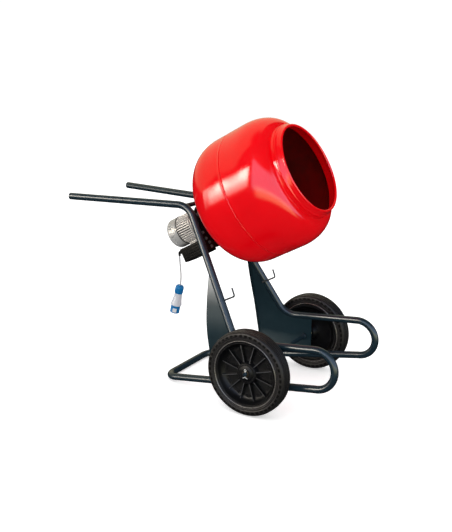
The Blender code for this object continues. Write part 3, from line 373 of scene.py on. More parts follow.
# --------------------------------------------------------------- side frames
loop_r = (Vector(LOOP_TOP) - Vector(LOOP_BOTTOM)).length / 2
loop_c = (Vector(LOOP_TOP) + Vector(LOOP_BOTTOM)) / 2
half_down = (Vector(LOOP_BOTTOM) - Vector(LOOP_TOP)) / 2
loop_out = Vector((1, 0, 0)) - half_down.normalized() * half_down.normalized().x
loop_out.normalize()


def rail_at(x):
    low, high = Vector(FOOT), Vector(LOOP_BOTTOM)
    return low.lerp(high, (x - low.x) / (high.x - low.x))


UPPER = fillet([HANDLE_END, HANDLE_BEND, LEG_BEND, LOOP_TOP], [0.1, 0.1])
PATH = UPPER + [loop_c - half_down * math.cos(t) + loop_out * loop_r * math.sin(t) for t in (math.pi * k / 36 for k in range(1, 37))]
PATH += [rail_at(JOINT_X)]


def on_path(x, upper=True):
    found = []
    for a, b in zip(PATH, PATH[1:]):
        if (a.x - x) * (b.x - x) <= 0 and abs(a.x - b.x) > 1e-9:
            found.append(a.lerp(b, (x - a.x) / (b.x - a.x)))
    return max(found, key=lambda p: p.z) if upper else min(found, key=lambda p: p.z)


def panel_y(x, z):
    slope = (LEG_BEND[1] - HANDLE_BEND[1]) / (HANDLE_BEND[2] - LEG_BEND[2])
    leg = HANDLE_BEND[1] + (HANDLE_BEND[2] - max(z, WHEEL_R)) * slope
    soft = 0.006
    y = -soft * math.log(math.exp(-leg / soft) + math.exp(-PANEL_FLAT / soft))
    if z < WHEEL_R:
        low = rail_at(x)
        t = (WHEEL_R - z) / (WHEEL_R - low.z)
        t = t * t * (3 - 2 * t) * 0.55 + t * 0.45
        y += (low.y - y) * t
    return y


APEX = on_path(-0.305 + SX)
REAR_BOTTOM = rail_at(-0.236 + SX)


def rear_x(z):
    t = min(1.0, max(0.0, (z - REAR_BOTTOM.z) / (APEX.z - REAR_BOTTOM.z)))
    return REAR_BOTTOM.x + (APEX.x - REAR_BOTTOM.x) * (1 - (1 - t) ** 2.0)


def leg_x(z):
    for a, b in zip(UPPER, UPPER[1:]):
        if b.z < a.z and b.z <= z <= a.z and a.x > HANDLE_BEND[0] - 0.01:
            return a.x + (b.x - a.x) * (a.z - z) / (a.z - b.z)
    return LEG_BEND[0]


def build_panel(side):
    """Pressed side panel: smooth outer skin, rolled-in rear edge, 3 mm sheet."""
    bm = bmesh.new()
    roll = 0.004
    columns, rows = 16, 40

    def grid(zs_of, xs_of, with_roll):
        cols = []
        if with_roll:
            for a in (None, 90, 68, 45, 22):
                col = []
                for j in range(rows + 1):
                    z = zs_of(0.0, j / rows)
                    x = rear_x(z)
                    y = panel_y(x, z) + 0.0015
                    if a is None:
                        col.append((x, y - 0.0125, z))
                    else:
                        t = math.radians(a)
                        col.append((x + roll - roll * math.sin(t), y - roll + roll * math.cos(t), z))
                cols.append(col)
        for i in range(columns + 1):
            f = i / columns
            col = []
            for j in range(rows + 1):
                z = zs_of(f, j / rows)
                x = xs_of(f, z) if not with_roll else max(xs_of(f, z), rear_x(z) + roll)
                col.append((x, panel_y(x, z) + 0.0015, z))
            cols.append(col)
        vs = [[bm.verts.new((p[0], p[1] * side, p[2])) for p in col] for col in cols]
        for a, b in zip(vs, vs[1:]):
            for j in range(rows):
                bm.faces.new((a[j], b[j], b[j + 1], a[j + 1]))

    front = 0.040 + SX
    z_mid = 0.296

    def low_z(f, t):
        x = REAR_BOTTOM.x + (front - REAR_BOTTOM.x) * f
        bottom = rail_at(x).z + 0.004
        top = z_mid + 0.012 * max(0.0, (x - LEG_BEND[0]) / (front - LEG_BEND[0]))
        return bottom + (top - bottom) * t

    grid(low_z, lambda f, z: rear_x(z) + (front - rear_x(z)) * f, True)
    z_top = APEX.z - 0.002
    grid(lambda f, t: z_mid + (z_top - z_mid) * t, lambda f, z: rear_x(z) + max(0.0, leg_x(z) - rear_x(z)) * f, True)
    bmesh.ops.remove_doubles(bm, verts=bm.verts, dist=1e-5)
    bmesh.ops.dissolve_degenerate(bm, dist=1e-6, edges=bm.edges)
    for f in bm.faces:
        f.smooth = True
    name = f"panel_{'left' if side > 0 else 'right'}_skin"
    # outward is +y on the left, -y on the right
    bmesh.ops.recalc_face_normals(bm, faces=bm.faces)
    bm.normal_update()
    ref = max(bm.faces, key=lambda f: f.calc_area())
    if ref.normal.y * side < 0:
        bmesh.ops.reverse_faces(bm, faces=bm.faces)
    data = bpy.data.meshes.new(name)
    bm.to_mesh(data)
    bm.free()
    # the right panel takes the copy with the painted sheen
    data.materials.append(M["panel" if side > 0 else "panel_right"])
    data.polygons.foreach_set("use_smooth", [True] * len(data.polygons))
    obj = bpy.data.objects.new(name, data)
    scene.collection.objects.link(obj)
    mod = obj.modifiers.new("sheet", "SOLIDIFY")
    mod.thickness = 0.003
    mod.offset = -1.0
    return bake(obj)


def bake(obj, sharp=34):
    deps = bpy.context.evaluated_depsgraph_get()
    data = bpy.data.meshes.new_from_object(obj.evaluated_get(deps))
    obj.modifiers.clear()
    obj.data = data
    data.polygons.foreach_set("use_smooth", [True] * len(data.polygons))
    data.set_sharp_from_angle(angle=math.radians(sharp))
    return obj


for side, name in ((1, "left"), (-1, "right")):
    bm = bmesh.new()
    sweep(bm, mirrored(PATH, side), TUBE_R, 32)
    # weld beads where the crossbar and the hook meet the tube, and at the rail joint
    bar = on_path(-0.484 + SX)
    screw_ring(bm, (bar.x, (bar.y - TUBE_R + 0.0010) * side, bar.z), (0, side, 0), 0.0112, 0.0016)
    joint = rail_at(JOINT_X)
    screw_ring(bm, (joint.x, joint.y * side, joint.z), rail_at(0.3) - rail_at(0.2) if side > 0 else mirrored([rail_at(0.3) - rail_at(0.2)], -1)[0], TUBE_R - 0.0003, 0.0013, steps=32)
    finish_piece(to_object(f"frame_tube_{name}", bm, M["frame"]), "chassis", "frame_paint", f"side_frame_{name}")
    finish_piece(build_panel(side), "chassis", "frame_paint", f"side_panel_{name}")

    # domed plastic plug in the handle's open end
    bm = bmesh.new()
    end = mirrored([HANDLE_END], side)[0]
    inward = (mirrored([HANDLE_BEND], side)[0] - end).normalized()
    m = Matrix.Translation(end) @ inward.to_track_quat("Z", "Y").to_matrix().to_4x4()
    profile = [(0, -0.0040), (0.0070, -0.0039), (0.0120, -0.0034), (0.0148, -0.0024), (0.0163, -0.0010), (0.0166, -0.0002), (0.0145, -0.0002), (0.0141, 0.0150), (0, 0.0150)]
    lathe(bm, profile, 32, m, closed=False)
    finish_piece(to_object(f"end_plug_{name}", bm, M["black"]), "chassis", "black_plastic", f"handle_end_plug_{name}")

    # hook bent from round bar
    leg = Vector(HANDLE_BEND).lerp(Vector(LEG_BEND), 0.708)
    base = leg + Vector((0.004, -TUBE_R - 0.0045, 0.0))
    hook = fillet([base + Vector((-0.010, -0.0016, -0.0051)), (-0.1525 + SX, 0.2034, 0.5005), (-0.1670 + SX, 0.2034, 0.5395)], [0.009], 9)
    bm = bmesh.new()
    sweep(bm, mirrored(hook, side), 0.004, 18)
    along = (Vector((-0.1525 + SX, 0.2034, 0.5005)) - base).normalized()
    weld_at = base + along * 0.002 + Vector((0, 0.0030, 0))
    lathe(bm, [(0, -0.0095), (0.0028, -0.0085), (0.0042, -0.004), (0.0042, 0.004), (0.0028, 0.0085), (0, 0.0095)], 14,
          Matrix.Translation((weld_at.x, weld_at.y * side, weld_at.z)) @ mirrored([along], side)[0].to_track_quat("Z", "Y").to_matrix().to_4x4(), closed=False)
    finish_piece(to_object(f"cable_hook_{name}", bm, M["rod"]), "chassis", "frame_paint", f"hook_{name}")

# foot tube across the back
bm = bmesh.new()
left = [rail_at(JOINT_X), Vector(FOOT)]
foot_path = fillet(left + mirrored(list(reversed(left)), -1), [0.07, 0.07], 5)
sweep(bm, foot_path, TUBE_R, 32)
finish_piece(to_object("foot_tube", bm, M["frame"]), "chassis", "frame_paint", "rear_foot_tube")

bm = bmesh.new()
bar = on_path(-0.484 + SX)
reach = bar.y - TUBE_R + 0.0015
sweep(bm, [(bar.x, -reach, bar.z), (bar.x, reach, bar.z)], 0.011, 28)
finish_piece(to_object("cross_tube", bm, M["frame"]), "chassis", "frame_paint", "handle_crossbar")

# -------------------------------------------------------------------- wheels
SLOTS = 46
STEPS = SLOTS * 5


def tyre_profile():
    """Half section from bead to crown, then mirrored: ribbed tread."""
    outer = [(0.1500, 0.0300), (0.1508, 0.0330), (0.1530, 0.0345), (0.1548, 0.0350), (0.1556, 0.0368), (0.1568, 0.0375), (0.1582, 0.0368), (0.1592, 0.0352), (0.1612, 0.0352), (0.1628, 0.0370), (0.1645, 0.0376),
             (0.1675, 0.0376), (0.1688, 0.0364), (0.1712, 0.0364), (0.1725, 0.0376), (0.1772, 0.0377), (0.1872, 0.0373),
             (0.1905, 0.0362), (0.1935, 0.0340), (0.1955, 0.0315), (0.1962, 0.0295)]
    tread = []
    z = 0.0280
    ribs = [(0.0280, 0.0200), (0.0150, 0.0100), (0.0050, 0.0006)]
    top = [0.1978, 0.1992, 0.2000]
    for (za, zb), r in zip(ribs, top):
        tread += [(r - 0.0045, za + 0.0012), (r - 0.0006, za + 0.0003), (r, za - 0.0008), (r + 0.00002, zb + 0.0008), (r - 0.0006, zb - 0.0003), (r - 0.0040, zb - 0.0012)]
    half = outer + tread
    return half + [(r, -z) for r, z in reversed(half)]


def rim_parts(bm):
    band = 0.1488
    face = [
        (band, -0.0320), (band, 0.0325), (0.1480, 0.0342), (0.1462, 0.0345), (0.1440, 0.0340), (0.1428, 0.0326),
        (0.1418, 0.0290), (0.1398, 0.0225), (0.1372, 0.0150), (0.1330, 0.0080), (0.1270, 0.0020), (0.1200, -0.0008), (0.1150, -0.0013),
        (0.0700, -0.0028), (0.0590, -0.0032), (0.0548, -0.0022), (0.0522, 0.0030), (0.0500, 0.0125), (0.0486, 0.0172), (0.0466, 0.0196),
        (0.0440, 0.0202), (0.0400, 0.0202), (0.0392, 0.0188), (0.0375, 0.0188), (0.0366, 0.0204), (0.0310, 0.0218), (0.0290, 0.0238), (0.0268, 0.0249),
        (0.0240, 0.0250), (0.0150, 0.0250), (0.0150, -0.0400), (0.0300, -0.0400), (0.0318, -0.0380), (0.0460, -0.0120), (0.0500, -0.0100),
        (0.1150, -0.0082), (0.1180, -0.0090), (0.1380, -0.0310), (0.1400, -0.0320),
    ]
    lathe(bm, face, 96)
    # the ribs' edge faces and the lugs take material 1, the lighter grey: a painted highlight
    for k in range(12):
        turn = Matrix.Rotation(2 * math.pi * (k + 0.5) / 12, 4, "Z")
        outline = [(0.0500, -0.0050), (0.1180, -0.0040), (0.1290, 0.0015), (0.1345, 0.0095), (0.1338, 0.0118), (0.0900, 0.0140), (0.0500, 0.0150)]
        lo, hi = [], []
        for r, z in outline:
            draft = 0.0017
            lo.append(bm.verts.new(turn @ Vector((r, -draft, z))))
            hi.append(bm.verts.new(turn @ Vector((r, draft, z))))
        bm.faces.new(lo)
        bm.faces.new(hi[::-1])
        for i in range(len(outline)):
            j = (i + 1) % len(outline)
            bm.faces.new((lo[j], lo[i], hi[i], hi[j])).material_index = 1
        # raised lug between two ribs, at the foot of the band
        turn = Matrix.Rotation(2 * math.pi * k / 12, 4, "Z")
        slab(bm, (0.1080, -0.0130, -0.0020), (0.1215, 0.0130, 0.0012), turn, 0.0009, 1)


for side, name in ((1, "left"), (-1, "right")):
    place = Matrix.Translation((SX, WHEEL_Y * side, WHEEL_R)) @ Matrix.Rotation(-side * math.pi / 2, 4, "X")
    bm = bmesh.new()
    prof = tyre_profile()
    faces = lathe(bm, prof, STEPS, place)
    # ring of small recesses near each shoulder
    pick = []
    count = len(prof)
    for ringno in range(count):
        a, b = prof[ringno], prof[(ringno + 1) % count]
        if abs(a[1]) > 0.036 and abs(b[1]) > 0.036 and min(a[0], b[0]) >= 0.1771 and max(a[0], b[0]) <= 0.1873:
            for k in range(STEPS):
                if k % 5 in (0, 1, 2):
                    pick.append(faces[ringno * STEPS + k])
    groups = {}
    bmesh.ops.inset_region(bm, faces=pick, thickness=0.0004, depth=-0.0055, use_even_offset=True)
    # the slot floors take the darker rubber: painted shade
    for f in pick:
        if f.is_valid:
            f.material_index = 1
    # the bead ring takes the light grey material: a painted highlight
    for ringno in range(count):
        a, b = prof[ringno], prof[(ringno + 1) % count]
        if 0.1547 < min(a[0], b[0]) and max(a[0], b[0]) < 0.1593:
            for k in range(STEPS):
                faces[ringno * STEPS + k].material_index = 2
    finish_piece(to_object(f"ribbed_tyre_{name}", bm, [M["tyre"], M["recess"], M["bead"]], sharp=42), f"wheel_{name}", "tyre_black", f"tyre_{name}")
    bm = bmesh.new()
    rim_parts(bm)
    bmesh.ops.transform(bm, matrix=place, verts=bm.verts)
    finish_piece(to_object(f"ribbed_rim_{name}", bm, [M["rim"], M["rib"]], sharp=32), f"wheel_{name}", "black_plastic", f"rim_{name}")
    bm = bmesh.new()
    lathe(bm, [(0.0103, -0.0397), (0.0147, -0.0397), (0.0147, 0.0247), (0.0138, 0.0250), (0.0110, 0.0250), (0.0103, 0.0245)], 40, place)
    finish_piece(to_object(f"bush_{name}", bm, M["bronze"]), f"wheel_{name}", "bronze", f"hub_bush_{name}")

# axle, bosses, washers, split pins
bm = bmesh.new()
m = Matrix.Translation((SX, 0, WHEEL_R)) @ Matrix.Rotation(math.pi / 2, 4, "X")
e = 0.3720
lathe(bm, [(0, -e), (0.0080, -e), (0.0096, -e + 0.0012), (0.0099, -e + 0.003), (0.0099, e - 0.003), (0.0096, e - 0.0012), (0.0080, e), (0, e)], 40, m, closed=False)
finish_piece(to_object("axle_bar", bm, M["frame"]), "chassis", "frame_paint", "axle")
panel_at_axle = panel_y(SX, WHEEL_R)
for side, name in ((1, "left"), (-1, "right")):
    m = Matrix.Translation((SX, 0, WHEEL_R)) @ Matrix.Rotation(-side * math.pi / 2, 4, "X")
    bm = bmesh.new()
    p = panel_at_axle
    lathe(bm, [(0.0103, p - 0.016), (0.0155, p - 0.016), (0.0163, p - 0.0150), (0.0163, p + 0.0040), (0.0182, p + 0.0062), (0.0300, p + 0.0066), (0.0318, p + 0.0072), (0.0318, p + 0.0105),
               (0.0305, p + 0.0114), (0.0190, p + 0.0115), (0.0168, p + 0.0135), (0.0163, p + 0.0160), (0.0163, 0.2868), (0.0155, 0.2874), (0.0103, 0.2875)], 40, m)
    finish_piece(to_object(f"boss_{name}", bm, M["frame"]), "chassis", "frame_paint", f"axle_boss_{name}")
    bm = bmesh.new()
    z = WHEEL_Y - 0.0400 - GAP
    lathe(bm, [(0.0104, z - 0.0028), (0.0178, z - 0.0028), (0.0184, z - 0.0023), (0.0184, z - 0.0004), (0.0178, z), (0.0104, z)], 40, m)
    finish_piece(to_object(f"washer_{name}", bm, M["zinc"]), "chassis", "zinc", f"wheel_washer_{name}")
    y = 0.3660 * side
    eye = [Vector((-0.0045 * math.sin(t), y, 0.0185 - 0.0045 * math.cos(t))) for t in (math.radians(a) for a in range(25, 336, 12))]
    path = [Vector((-0.0120, y, -0.0195)), Vector((-0.0085, y, -0.0186)), Vector((-0.0050, y, -0.0165)), Vector((-0.0024, y, -0.0143)), Vector((-0.00115, y, -0.0118)), Vector((-0.00115, y, 0.0125))] + eye
    path += [Vector((-q.x, q.y, q.z)) for q in reversed(path[:6])]
    bm = bmesh.new()
    sweep(bm, path, 0.00135, 12, Matrix.Translation((SX, 0, WHEEL_R)))
    finish_piece(to_object(f"cotter_{name}", bm, M["pin"], sharp=60), "chassis", "zinc", f"split_pin_{name}")


# ---------------------------------------------------------------------- drum
def drum_r(s):
    if s < NECK_S:
        return RIM_R + (NECK_R - RIM_R) * (s / NECK_S)
    if s < SHOULDER_S:
        q = (SHOULDER_S - s) / (SHOULDER_S - NECK_S)
        return NECK_R + (BELLY_R - NECK_R) * (1 - q**2.05) ** (1 / 2.05)
    if s < BASE_START_S:
        return BELLY_R
    q = min(1.0, (s - BASE_START_S) / (DRUM_LEN - BASE_START_S))
    return BASE_R + (BELLY_R - BASE_R) * (1 - q**2.1) ** (1 / 2.1)


def eased(s0, s1, n, dense_at_end):
    out = []
    for k in range(n + 1):
        t = k / n
        t = math.sin(t * math.pi / 2) if dense_at_end else 1 - math.cos(t * math.pi / 2)
        out.append(s0 + (s1 - s0) * t)
    return out


# rolled rim, neck with a pressed bead, shoulder, then the cylinder to the seam
rim_c = RIM_R - 0.0065
upper_out = [(BELLY_R - 0.0026, SEAM_S - 0.0003), (BELLY_R - 0.0006, SEAM_S - 0.0014), (BELLY_R + 0.0002, SEAM_S - 0.0030), (BELLY_R + 0.0002, SEAM_S - 0.0058), (BELLY_R, SEAM_S - 0.0078), (BELLY_R, 0.235), (BELLY_R, SHOULDER_S + 0.01), (BELLY_R, SHOULDER_S)]
upper_out += [(drum_r(s), s) for s in reversed(eased(NECK_S + 0.0012, SHOULDER_S - 0.010, 22, False))]
neck = [(drum_r(0.0505) - 0.0004, 0.0492), (drum_r(0.046) - 0.0002, 0.0455), (drum_r(0.038), 0.038), (drum_r(0.0345) + 0.0010, 0.0350), (drum_r(0.0325) + 0.0028, 0.0330),
        (drum_r(0.030) + 0.0037, 0.0303), (drum_r(0.030) + 0.0034, 0.0280), (drum_r(0.0265) + 0.0018, 0.0258), (drum_r(0.0235) + 0.0004, 0.0235), (drum_r(0.020), 0.0200), (drum_r(0.013) - 0.0003, 0.0135)]
bead = arc(rim_c, 0.0065, 0.0064, 8, -225, 16)
upper_in = [(drum_r(0.013) - 0.0026, 0.0135), (drum_r(0.020) - SHEET, 0.020), (drum_r(0.0325) - SHEET, 0.0325), (drum_r(0.044) - SHEET, 0.044)]
upper_in += [(drum_r(s) - SHEET, s + SHEET * 0.6) for s in eased(NECK_S, SHOULDER_S - 0.012, 18, False)]
upper_in += [(BELLY_R - SHEET, SHOULDER_S + 0.002), (BELLY_R - SHEET, SEAM_S - 0.0003)]
profile = upper_out + neck + bead + upper_in
n_out = len(upper_out) + len(neck) + len(bead)
# the inside faces take the darker red: painted shade
mats = [0 if i < n_out + 4 else 1 for i in range(len(profile))]
bm = bmesh.new()
lathe(bm, profile, 160, DRUM, mats=mats)
finish_piece(to_object("drum_front_shell", bm, [M["red"], M["red_inside"]], sharp=50), "drum", "drum_red", "drum_upper_shell")

# back shell: its edge is pressed out over the front one, hence the raised seam line
bowl_s = eased(BASE_START_S, DRUM_LEN, 26, True)
bowl_out = [(BELLY_R - 0.0026, SEAM_S), (BELLY_R - 0.0004, SEAM_S + 0.0010), (BELLY_R + 0.0003, SEAM_S + 0.0024), (BELLY_R + 0.0003, SEAM_S + 0.0040), (BELLY_R - 0.0006, SEAM_S + 0.0060), (BELLY_R - 0.0016, SEAM_S + 0.0085), (BELLY_R - 0.0014, SEAM_S + 0.016), (BELLY_R - 0.0003, SEAM_S + 0.030), (BELLY_R, 0.325)]
bowl_out += [(drum_r(s), s) for s in bowl_s]
bowl_in = [(BELLY_R - SHEET - 0.0012, SEAM_S), (BELLY_R - SHEET - 0.0016, SEAM_S + 0.012), (BELLY_R - SHEET - 0.0004, 0.325)] + [
    (drum_r(s) - SHEET, s - SHEET * (s - BASE_START_S) / (DRUM_LEN - BASE_START_S)) for s in bowl_s]
profile = [(0, DRUM_LEN), (0.05, DRUM_LEN), (0.10, DRUM_LEN)] + list(reversed(bowl_out)) + bowl_in + [(0.10, DRUM_LEN - SHEET), (0.05, DRUM_LEN - SHEET), (0, DRUM_LEN - SHEET)]
n_out = 3 + len(bowl_out)
bm = bmesh.new()
# the inside faces take the darker red: painted shade
lathe(bm, profile, 160, DRUM, closed=False, mats=[0 if i < n_out - 1 else 1 for i in range(len(profile))])
finish_piece(to_object("drum_back_shell", bm, [M["red"], M["red_inside"]], sharp=50), "drum", "drum_red", "drum_bowl")


def blade(name, start_angle, node):
    n, m = 36, 10
    bm = bmesh.new()
    grid = []
    for i in range(n + 1):
        t = i / n
        s = 0.470 - 0.355 * t
        angle = start_angle - math.radians(62) * (1 - t)
        wall = (drum_r(s) - SHEET) * math.cos(math.pi / 28) - 0.0040
        tall = 0.030 + 0.046 * math.sin(math.pi * (0.12 + 0.76 * t))
        row = []
        for j in range(m + 1):
            r = wall - tall * j / m
            lean = angle + math.radians(9) * (j / m) ** 2
            row.append(bm.verts.new(DRUM @ Vector((r * math.cos(lean), r * math.sin(lean), s))))
        grid.append(row)
    for i in range(n):
        for j in range(m):
            bm.faces.new((grid[i][j], grid[i + 1][j], grid[i + 1][j + 1], grid[i][j + 1]))
    # the paddle takes the darker red: painted shade inside the drum
    obj = to_object(name, bm, M["red_inside"])
    mod = obj.modifiers.new("plate", "SOLIDIFY")
    mod.thickness, mod.offset = 0.0038, 0.0
    finish_piece(bake(obj), "drum", "drum_red", node)


blade("paddle_1", math.radians(-25), "mixing_blade_1")
blade("paddle_2", math.radians(155), "mixing_blade_2")

# ------------------------------------------------------ drive: visible solids
# hub flange behind the drum
bm = bmesh.new()
lathe(bm, [(0.0130, DRUM_LEN + GAP), (0.0712, DRUM_LEN + GAP), (0.0719, DRUM_LEN + 0.0012), (0.0719, DRUM_LEN + 0.0070), (0.0705, DRUM_LEN + 0.0083), (0.0400, DRUM_LEN + 0.0104),
           (0.0340, DRUM_LEN + 0.0112), (0.0305, DRUM_LEN + 0.0140), (0.0285, DRUM_LEN + 0.0200), (0.0275, DRUM_LEN + 0.0222), (0.0130, DRUM_LEN + 0.0225)], 64, DRUM)
finish_piece(to_object("hub_flange", bm, M["gear"]), "drum", "gearbox_black", "drum_hub")

# stud ring: a plate inside the drum floor with six bolts, their nuts behind the hub
bm = bmesh.new()
floor_s = DRUM_LEN - SHEET - GAP
lathe(bm, [(0.0440, floor_s), (0.0660, floor_s), (0.0660, floor_s - 0.0025), (0.0655, floor_s - 0.0030), (0.0445, floor_s - 0.0030), (0.0440, floor_s - 0.0025)], 72, DRUM)
for k in range(6):
    a = math.pi * k / 3 + 0.05
    x, y = 0.055 * math.cos(a), 0.055 * math.sin(a)
    r = 0.0068
    mm = DRUM @ Matrix.Translation((x, y, floor_s - 0.0070))
    lathe(bm, [(0, 0), (r * 0.86, 0), (r, 0.0008), (r, 0.0041), (0, 0.0041)], 6, mm, closed=False)
    mm = DRUM @ Matrix.Translation((x, y, DRUM_LEN + 0.0092))
    lathe(bm, [(0, 0), (0.0085, 0), (0.0085, 0.0012), (0, 0.0012)], 18, mm, closed=False, mat=1)
    lathe(bm, [(0, 0.0012), (r, 0.0012), (r, 0.0060), (r * 0.86, 0.0068), (0, 0.0068)], 6, mm, closed=False, mat=1)
    lathe(bm, [(0, 0.0066), (0.0038, 0.0066), (0.0038, 0.0090), (0.0030, 0.0098), (0, 0.0098)], 16, mm, closed=False, mat=1)
finish_piece(to_object("stud_ring", bm, [M["bolt"], M["zinc"]]), "drum", "zinc", "hub_stud_ring")

# gearbox: cast slot-shaped case with a bolted flange and ribs
CENTRES, PLATE_S = 0.06125, 0.600
PLATE_BACK = PLATE_S + 0.006


def slot_pts(radius, steps=28):
    pts = []
    for k in range(steps + 1):
        t = -math.pi / 2 + math.pi * k / steps
        pts.append((radius * math.cos(t), radius * math.sin(t)))
    for k in range(steps + 1):
        t = math.pi / 2 + math.pi * k / steps
        pts.append((-CENTRES + radius * math.cos(t), radius * math.sin(t)))
    return pts


def stack(bm, layers, mat=0):
    """Layers of (radius, s): slot-shaped sections joined into one casting."""
    rings = [[bm.verts.new(DRUM @ Vector((x, y, s))) for x, y in slot_pts(r)] for r, s in layers]
    n = len(rings[0])
    for a, b in zip(rings, rings[1:]):
        for k in range(n):
            m = (k + 1) % n
            bm.faces.new((a[k], a[m], b[m], b[k])).material_index = mat
    bm.faces.new(rings[0][::-1]).material_index = mat
    bm.faces.new(rings[-1]).material_index = mat


bm = bmesh.new()
f0 = PLATE_BACK + GAP
stack(bm, [(0.0730, f0), (0.0738, f0 + 0.0008), (0.0738, f0 + 0.0062), (0.0726, f0 + 0.0074), (0.0640, f0 + 0.0078), (0.0622, f0 + 0.0092), (0.0615, f0 + 0.0130),
           (0.0608, 0.6640), (0.0596, 0.6692), (0.0570, 0.6716), (0.0555, 0.6719)])
for x, y in ((0.066, 0.0), (0.0, 0.066), (0.0, -0.066), (-CENTRES, 0.066), (-CENTRES, -0.066), (-CENTRES - 0.066, 0.0)):
    mm = DRUM @ Matrix.Translation((x, y, f0 + 0.0077))
    lathe(bm, [(0, 0), (0.0066, 0), (0.0066, 0.0010), (0, 0.0010)], 16, mm, closed=False, mat=1)
    lathe(bm, [(0, 0.001), (0.0053, 0.001), (0.0053, 0.0044), (0.0046, 0.0052), (0, 0.0052)], 6, mm, closed=False, mat=1)
    lathe(bm, [(0, 0.005), (0.0028, 0.005), (0.0028, 0.0096), (0.0022, 0.0102), (0, 0.0102)], 12, mm, closed=False, mat=1)
for k in range(-2, 3):
    y = k * 0.0215
    ext = math.sqrt(max(0.0, 0.0600**2 - y * y))
    slab(bm, (-CENTRES - ext + 0.004, y - 0.0013, 0.6700), (ext - 0.004, y + 0.0013, 0.6721), DRUM, 0.0005, 1)
finish_piece(to_object("gearbox_case", bm, [M["gear"], M["zinc"]], sharp=30), "chassis", "gearbox_black", "gearbox_housing")

# drive plate with its bolts to the bearing carrier
def leg_half(u):
    best = 0.11
    for a, b in zip(UPPER, UPPER[1:]):
        ua, ub = (a - MOUTH).dot(UP), (b - MOUTH).dot(UP)
        if (ua - u) * (ub - u) <= 0 and abs(ua - ub) > 1e-6:
            best = a.lerp(b, (u - ua) / (ub - ua)).y
    return best


PT, PL = 0.050, -0.150
hw0, hw1 = leg_half(PT) - 0.0170, leg_half(PL) - 0.0170
outline = [(PL, -hw1)] + [(PL + (PT - PL) * t, -(hw1 + (hw0 - hw1) * t)) for t in (0.33, 0.66)] + [(PT, -hw0), (PT + 0.018, -hw0 + 0.022), (PT + 0.026, -0.052)]
outline += [(x, -y) for x, y in reversed(outline)]
bm = bmesh.new()
low = [bm.verts.new(DRUM @ Vector((x, y, PLATE_S))) for x, y in outline]
top = [bm.verts.new(DRUM @ Vector((x, y, PLATE_BACK))) for x, y in outline]
bm.faces.new(low)
bm.faces.new(top[::-1])
for k in range(len(outline)):
    m = (k + 1) % len(outline)
    bm.faces.new((low[k], low[m], top[m], top[k]))
bmesh.ops.bevel(bm, geom=list(bm.edges), offset=0.0008, segments=2, affect="EDGES")
for k in range(6):
    a = math.pi * (k + 0.5) / 3
    mm = DRUM @ Matrix.Translation((0.050 * math.cos(a), 0.050 * math.sin(a), PLATE_S - 0.0115)) @ Matrix.Rotation(math.pi, 4, "X")
    lathe(bm, [(0, -0.002), (0.0050, -0.002), (0.0050, 0.0040), (0.0043, 0.0047), (0, 0.0047)], 6, mm, closed=False, mat=1)
for u, inset in ((0.030, 0.012), (-0.062, 0.012), (-0.094, 0.024), (-0.116, 0.042), (-0.138, 0.050)):
    half = hw0 + (hw1 - hw0) * (PT - u) / (PT - PL)
    for y in (-half + inset, half - inset):
        mm = DRUM @ Matrix.Translation((u, y, PLATE_S)) @ Matrix.Rotation(math.pi, 4, "X")
        lathe(bm, [(0, -0.001), (0.0088, -0.001), (0.0088, 0.0012), (0, 0.0012)], 18, mm, closed=False, mat=2)
        lathe(bm, [(0, 0.0012), (0.0066, 0.0012), (0.0066, 0.0062), (0.0058, 0.0070), (0, 0.0070)], 6, mm, closed=False, mat=2)
finish_piece(to_object("mount_plate", bm, [M["gear"], M["zinc"], M["bolt"]], sharp=30), "chassis", "gearbox_black", "drive_plate")

bm = bmesh.new()
lathe(bm, [(0.0262, 0.5490), (0.0342, 0.5490), (0.0352, 0.5496), (0.0366, 0.5520), (0.0395, 0.5830), (0.0405, 0.5862), (0.0430, 0.5884), (0.0470, 0.5893),
           (0.0592, 0.5896), (0.0600, 0.5904), (0.0600, PLATE_S - 0.0008), (0.0592, PLATE_S - GAP), (0.0262, PLATE_S - GAP)], 64, DRUM)
for k in range(6):
    turn = Matrix.Rotation(math.pi * k / 3, 4, "Z")
    vs = []
    for y in (-0.0020, 0.0020):
        vs.append([bm.verts.new(DRUM @ turn @ Vector(p)) for p in ((0.0330, y, 0.5560), (0.0385, y, 0.5570), (0.0570, y, 0.5885), (0.0570, y, 0.5905), (0.0330, y, 0.5905))])
    bm.faces.new(vs[0])
    bm.faces.new(vs[1][::-1])
    for i in range(5):
        j = (i + 1) % 5
        bm.faces.new((vs[0][j], vs[0][i], vs[1][i], vs[1][j]))
finish_piece(to_object("carrier_casting", bm, M["gear"]), "chassis", "gearbox_black", "bearing_carrier")

# ------------------------------------------------------------------- motor
bm = bmesh.new()
lathe(bm, [(0.0174, 0.6724), (0.0640, 0.6724), (0.0652, 0.6730), (0.0660, 0.6744), (0.0660, 0.6800), (0.0655, 0.6808), (0.0630, 0.6815), (0.0630, 0.6832), (0.0658, 0.6842), (0.0660, 0.6850), (0.0660, 0.6890), (0.0652, 0.6899), (0.0174, 0.6899)], 96, DRUM)
for a in (45, 135, 225, 315):
    turn = Matrix.Rotation(math.radians(a), 4, "Z")
    slab(bm, (0.0560, -0.0085, 0.6740), (0.0668, 0.0085, 0.6888), DRUM @ turn, 0.0016, 2)
finish_piece(to_object("motor_nose", bm, M["alu"]), "chassis", "cast_aluminium", "motor_flange")

FINS = 38
bm = bmesh.new()
section = []
for k in range(FINS):
    mid = 2 * math.pi * k / FINS
    for dr, da in ((0.0660, -0.50), (0.0660, -0.31), (0.0666, -0.28), (0.0735, -0.24), (0.0740, -0.20), (0.0740, 0.20), (0.0735, 0.24), (0.0666, 0.28), (0.0660, 0.31)):
        section.append((dr, mid + da * 2 * math.pi / FINS))
inner = 0.0630
layers = [(0.0, 0.6903), (1.0, 0.6903), (1.0, 0.7785), (0.0, 0.7785)]


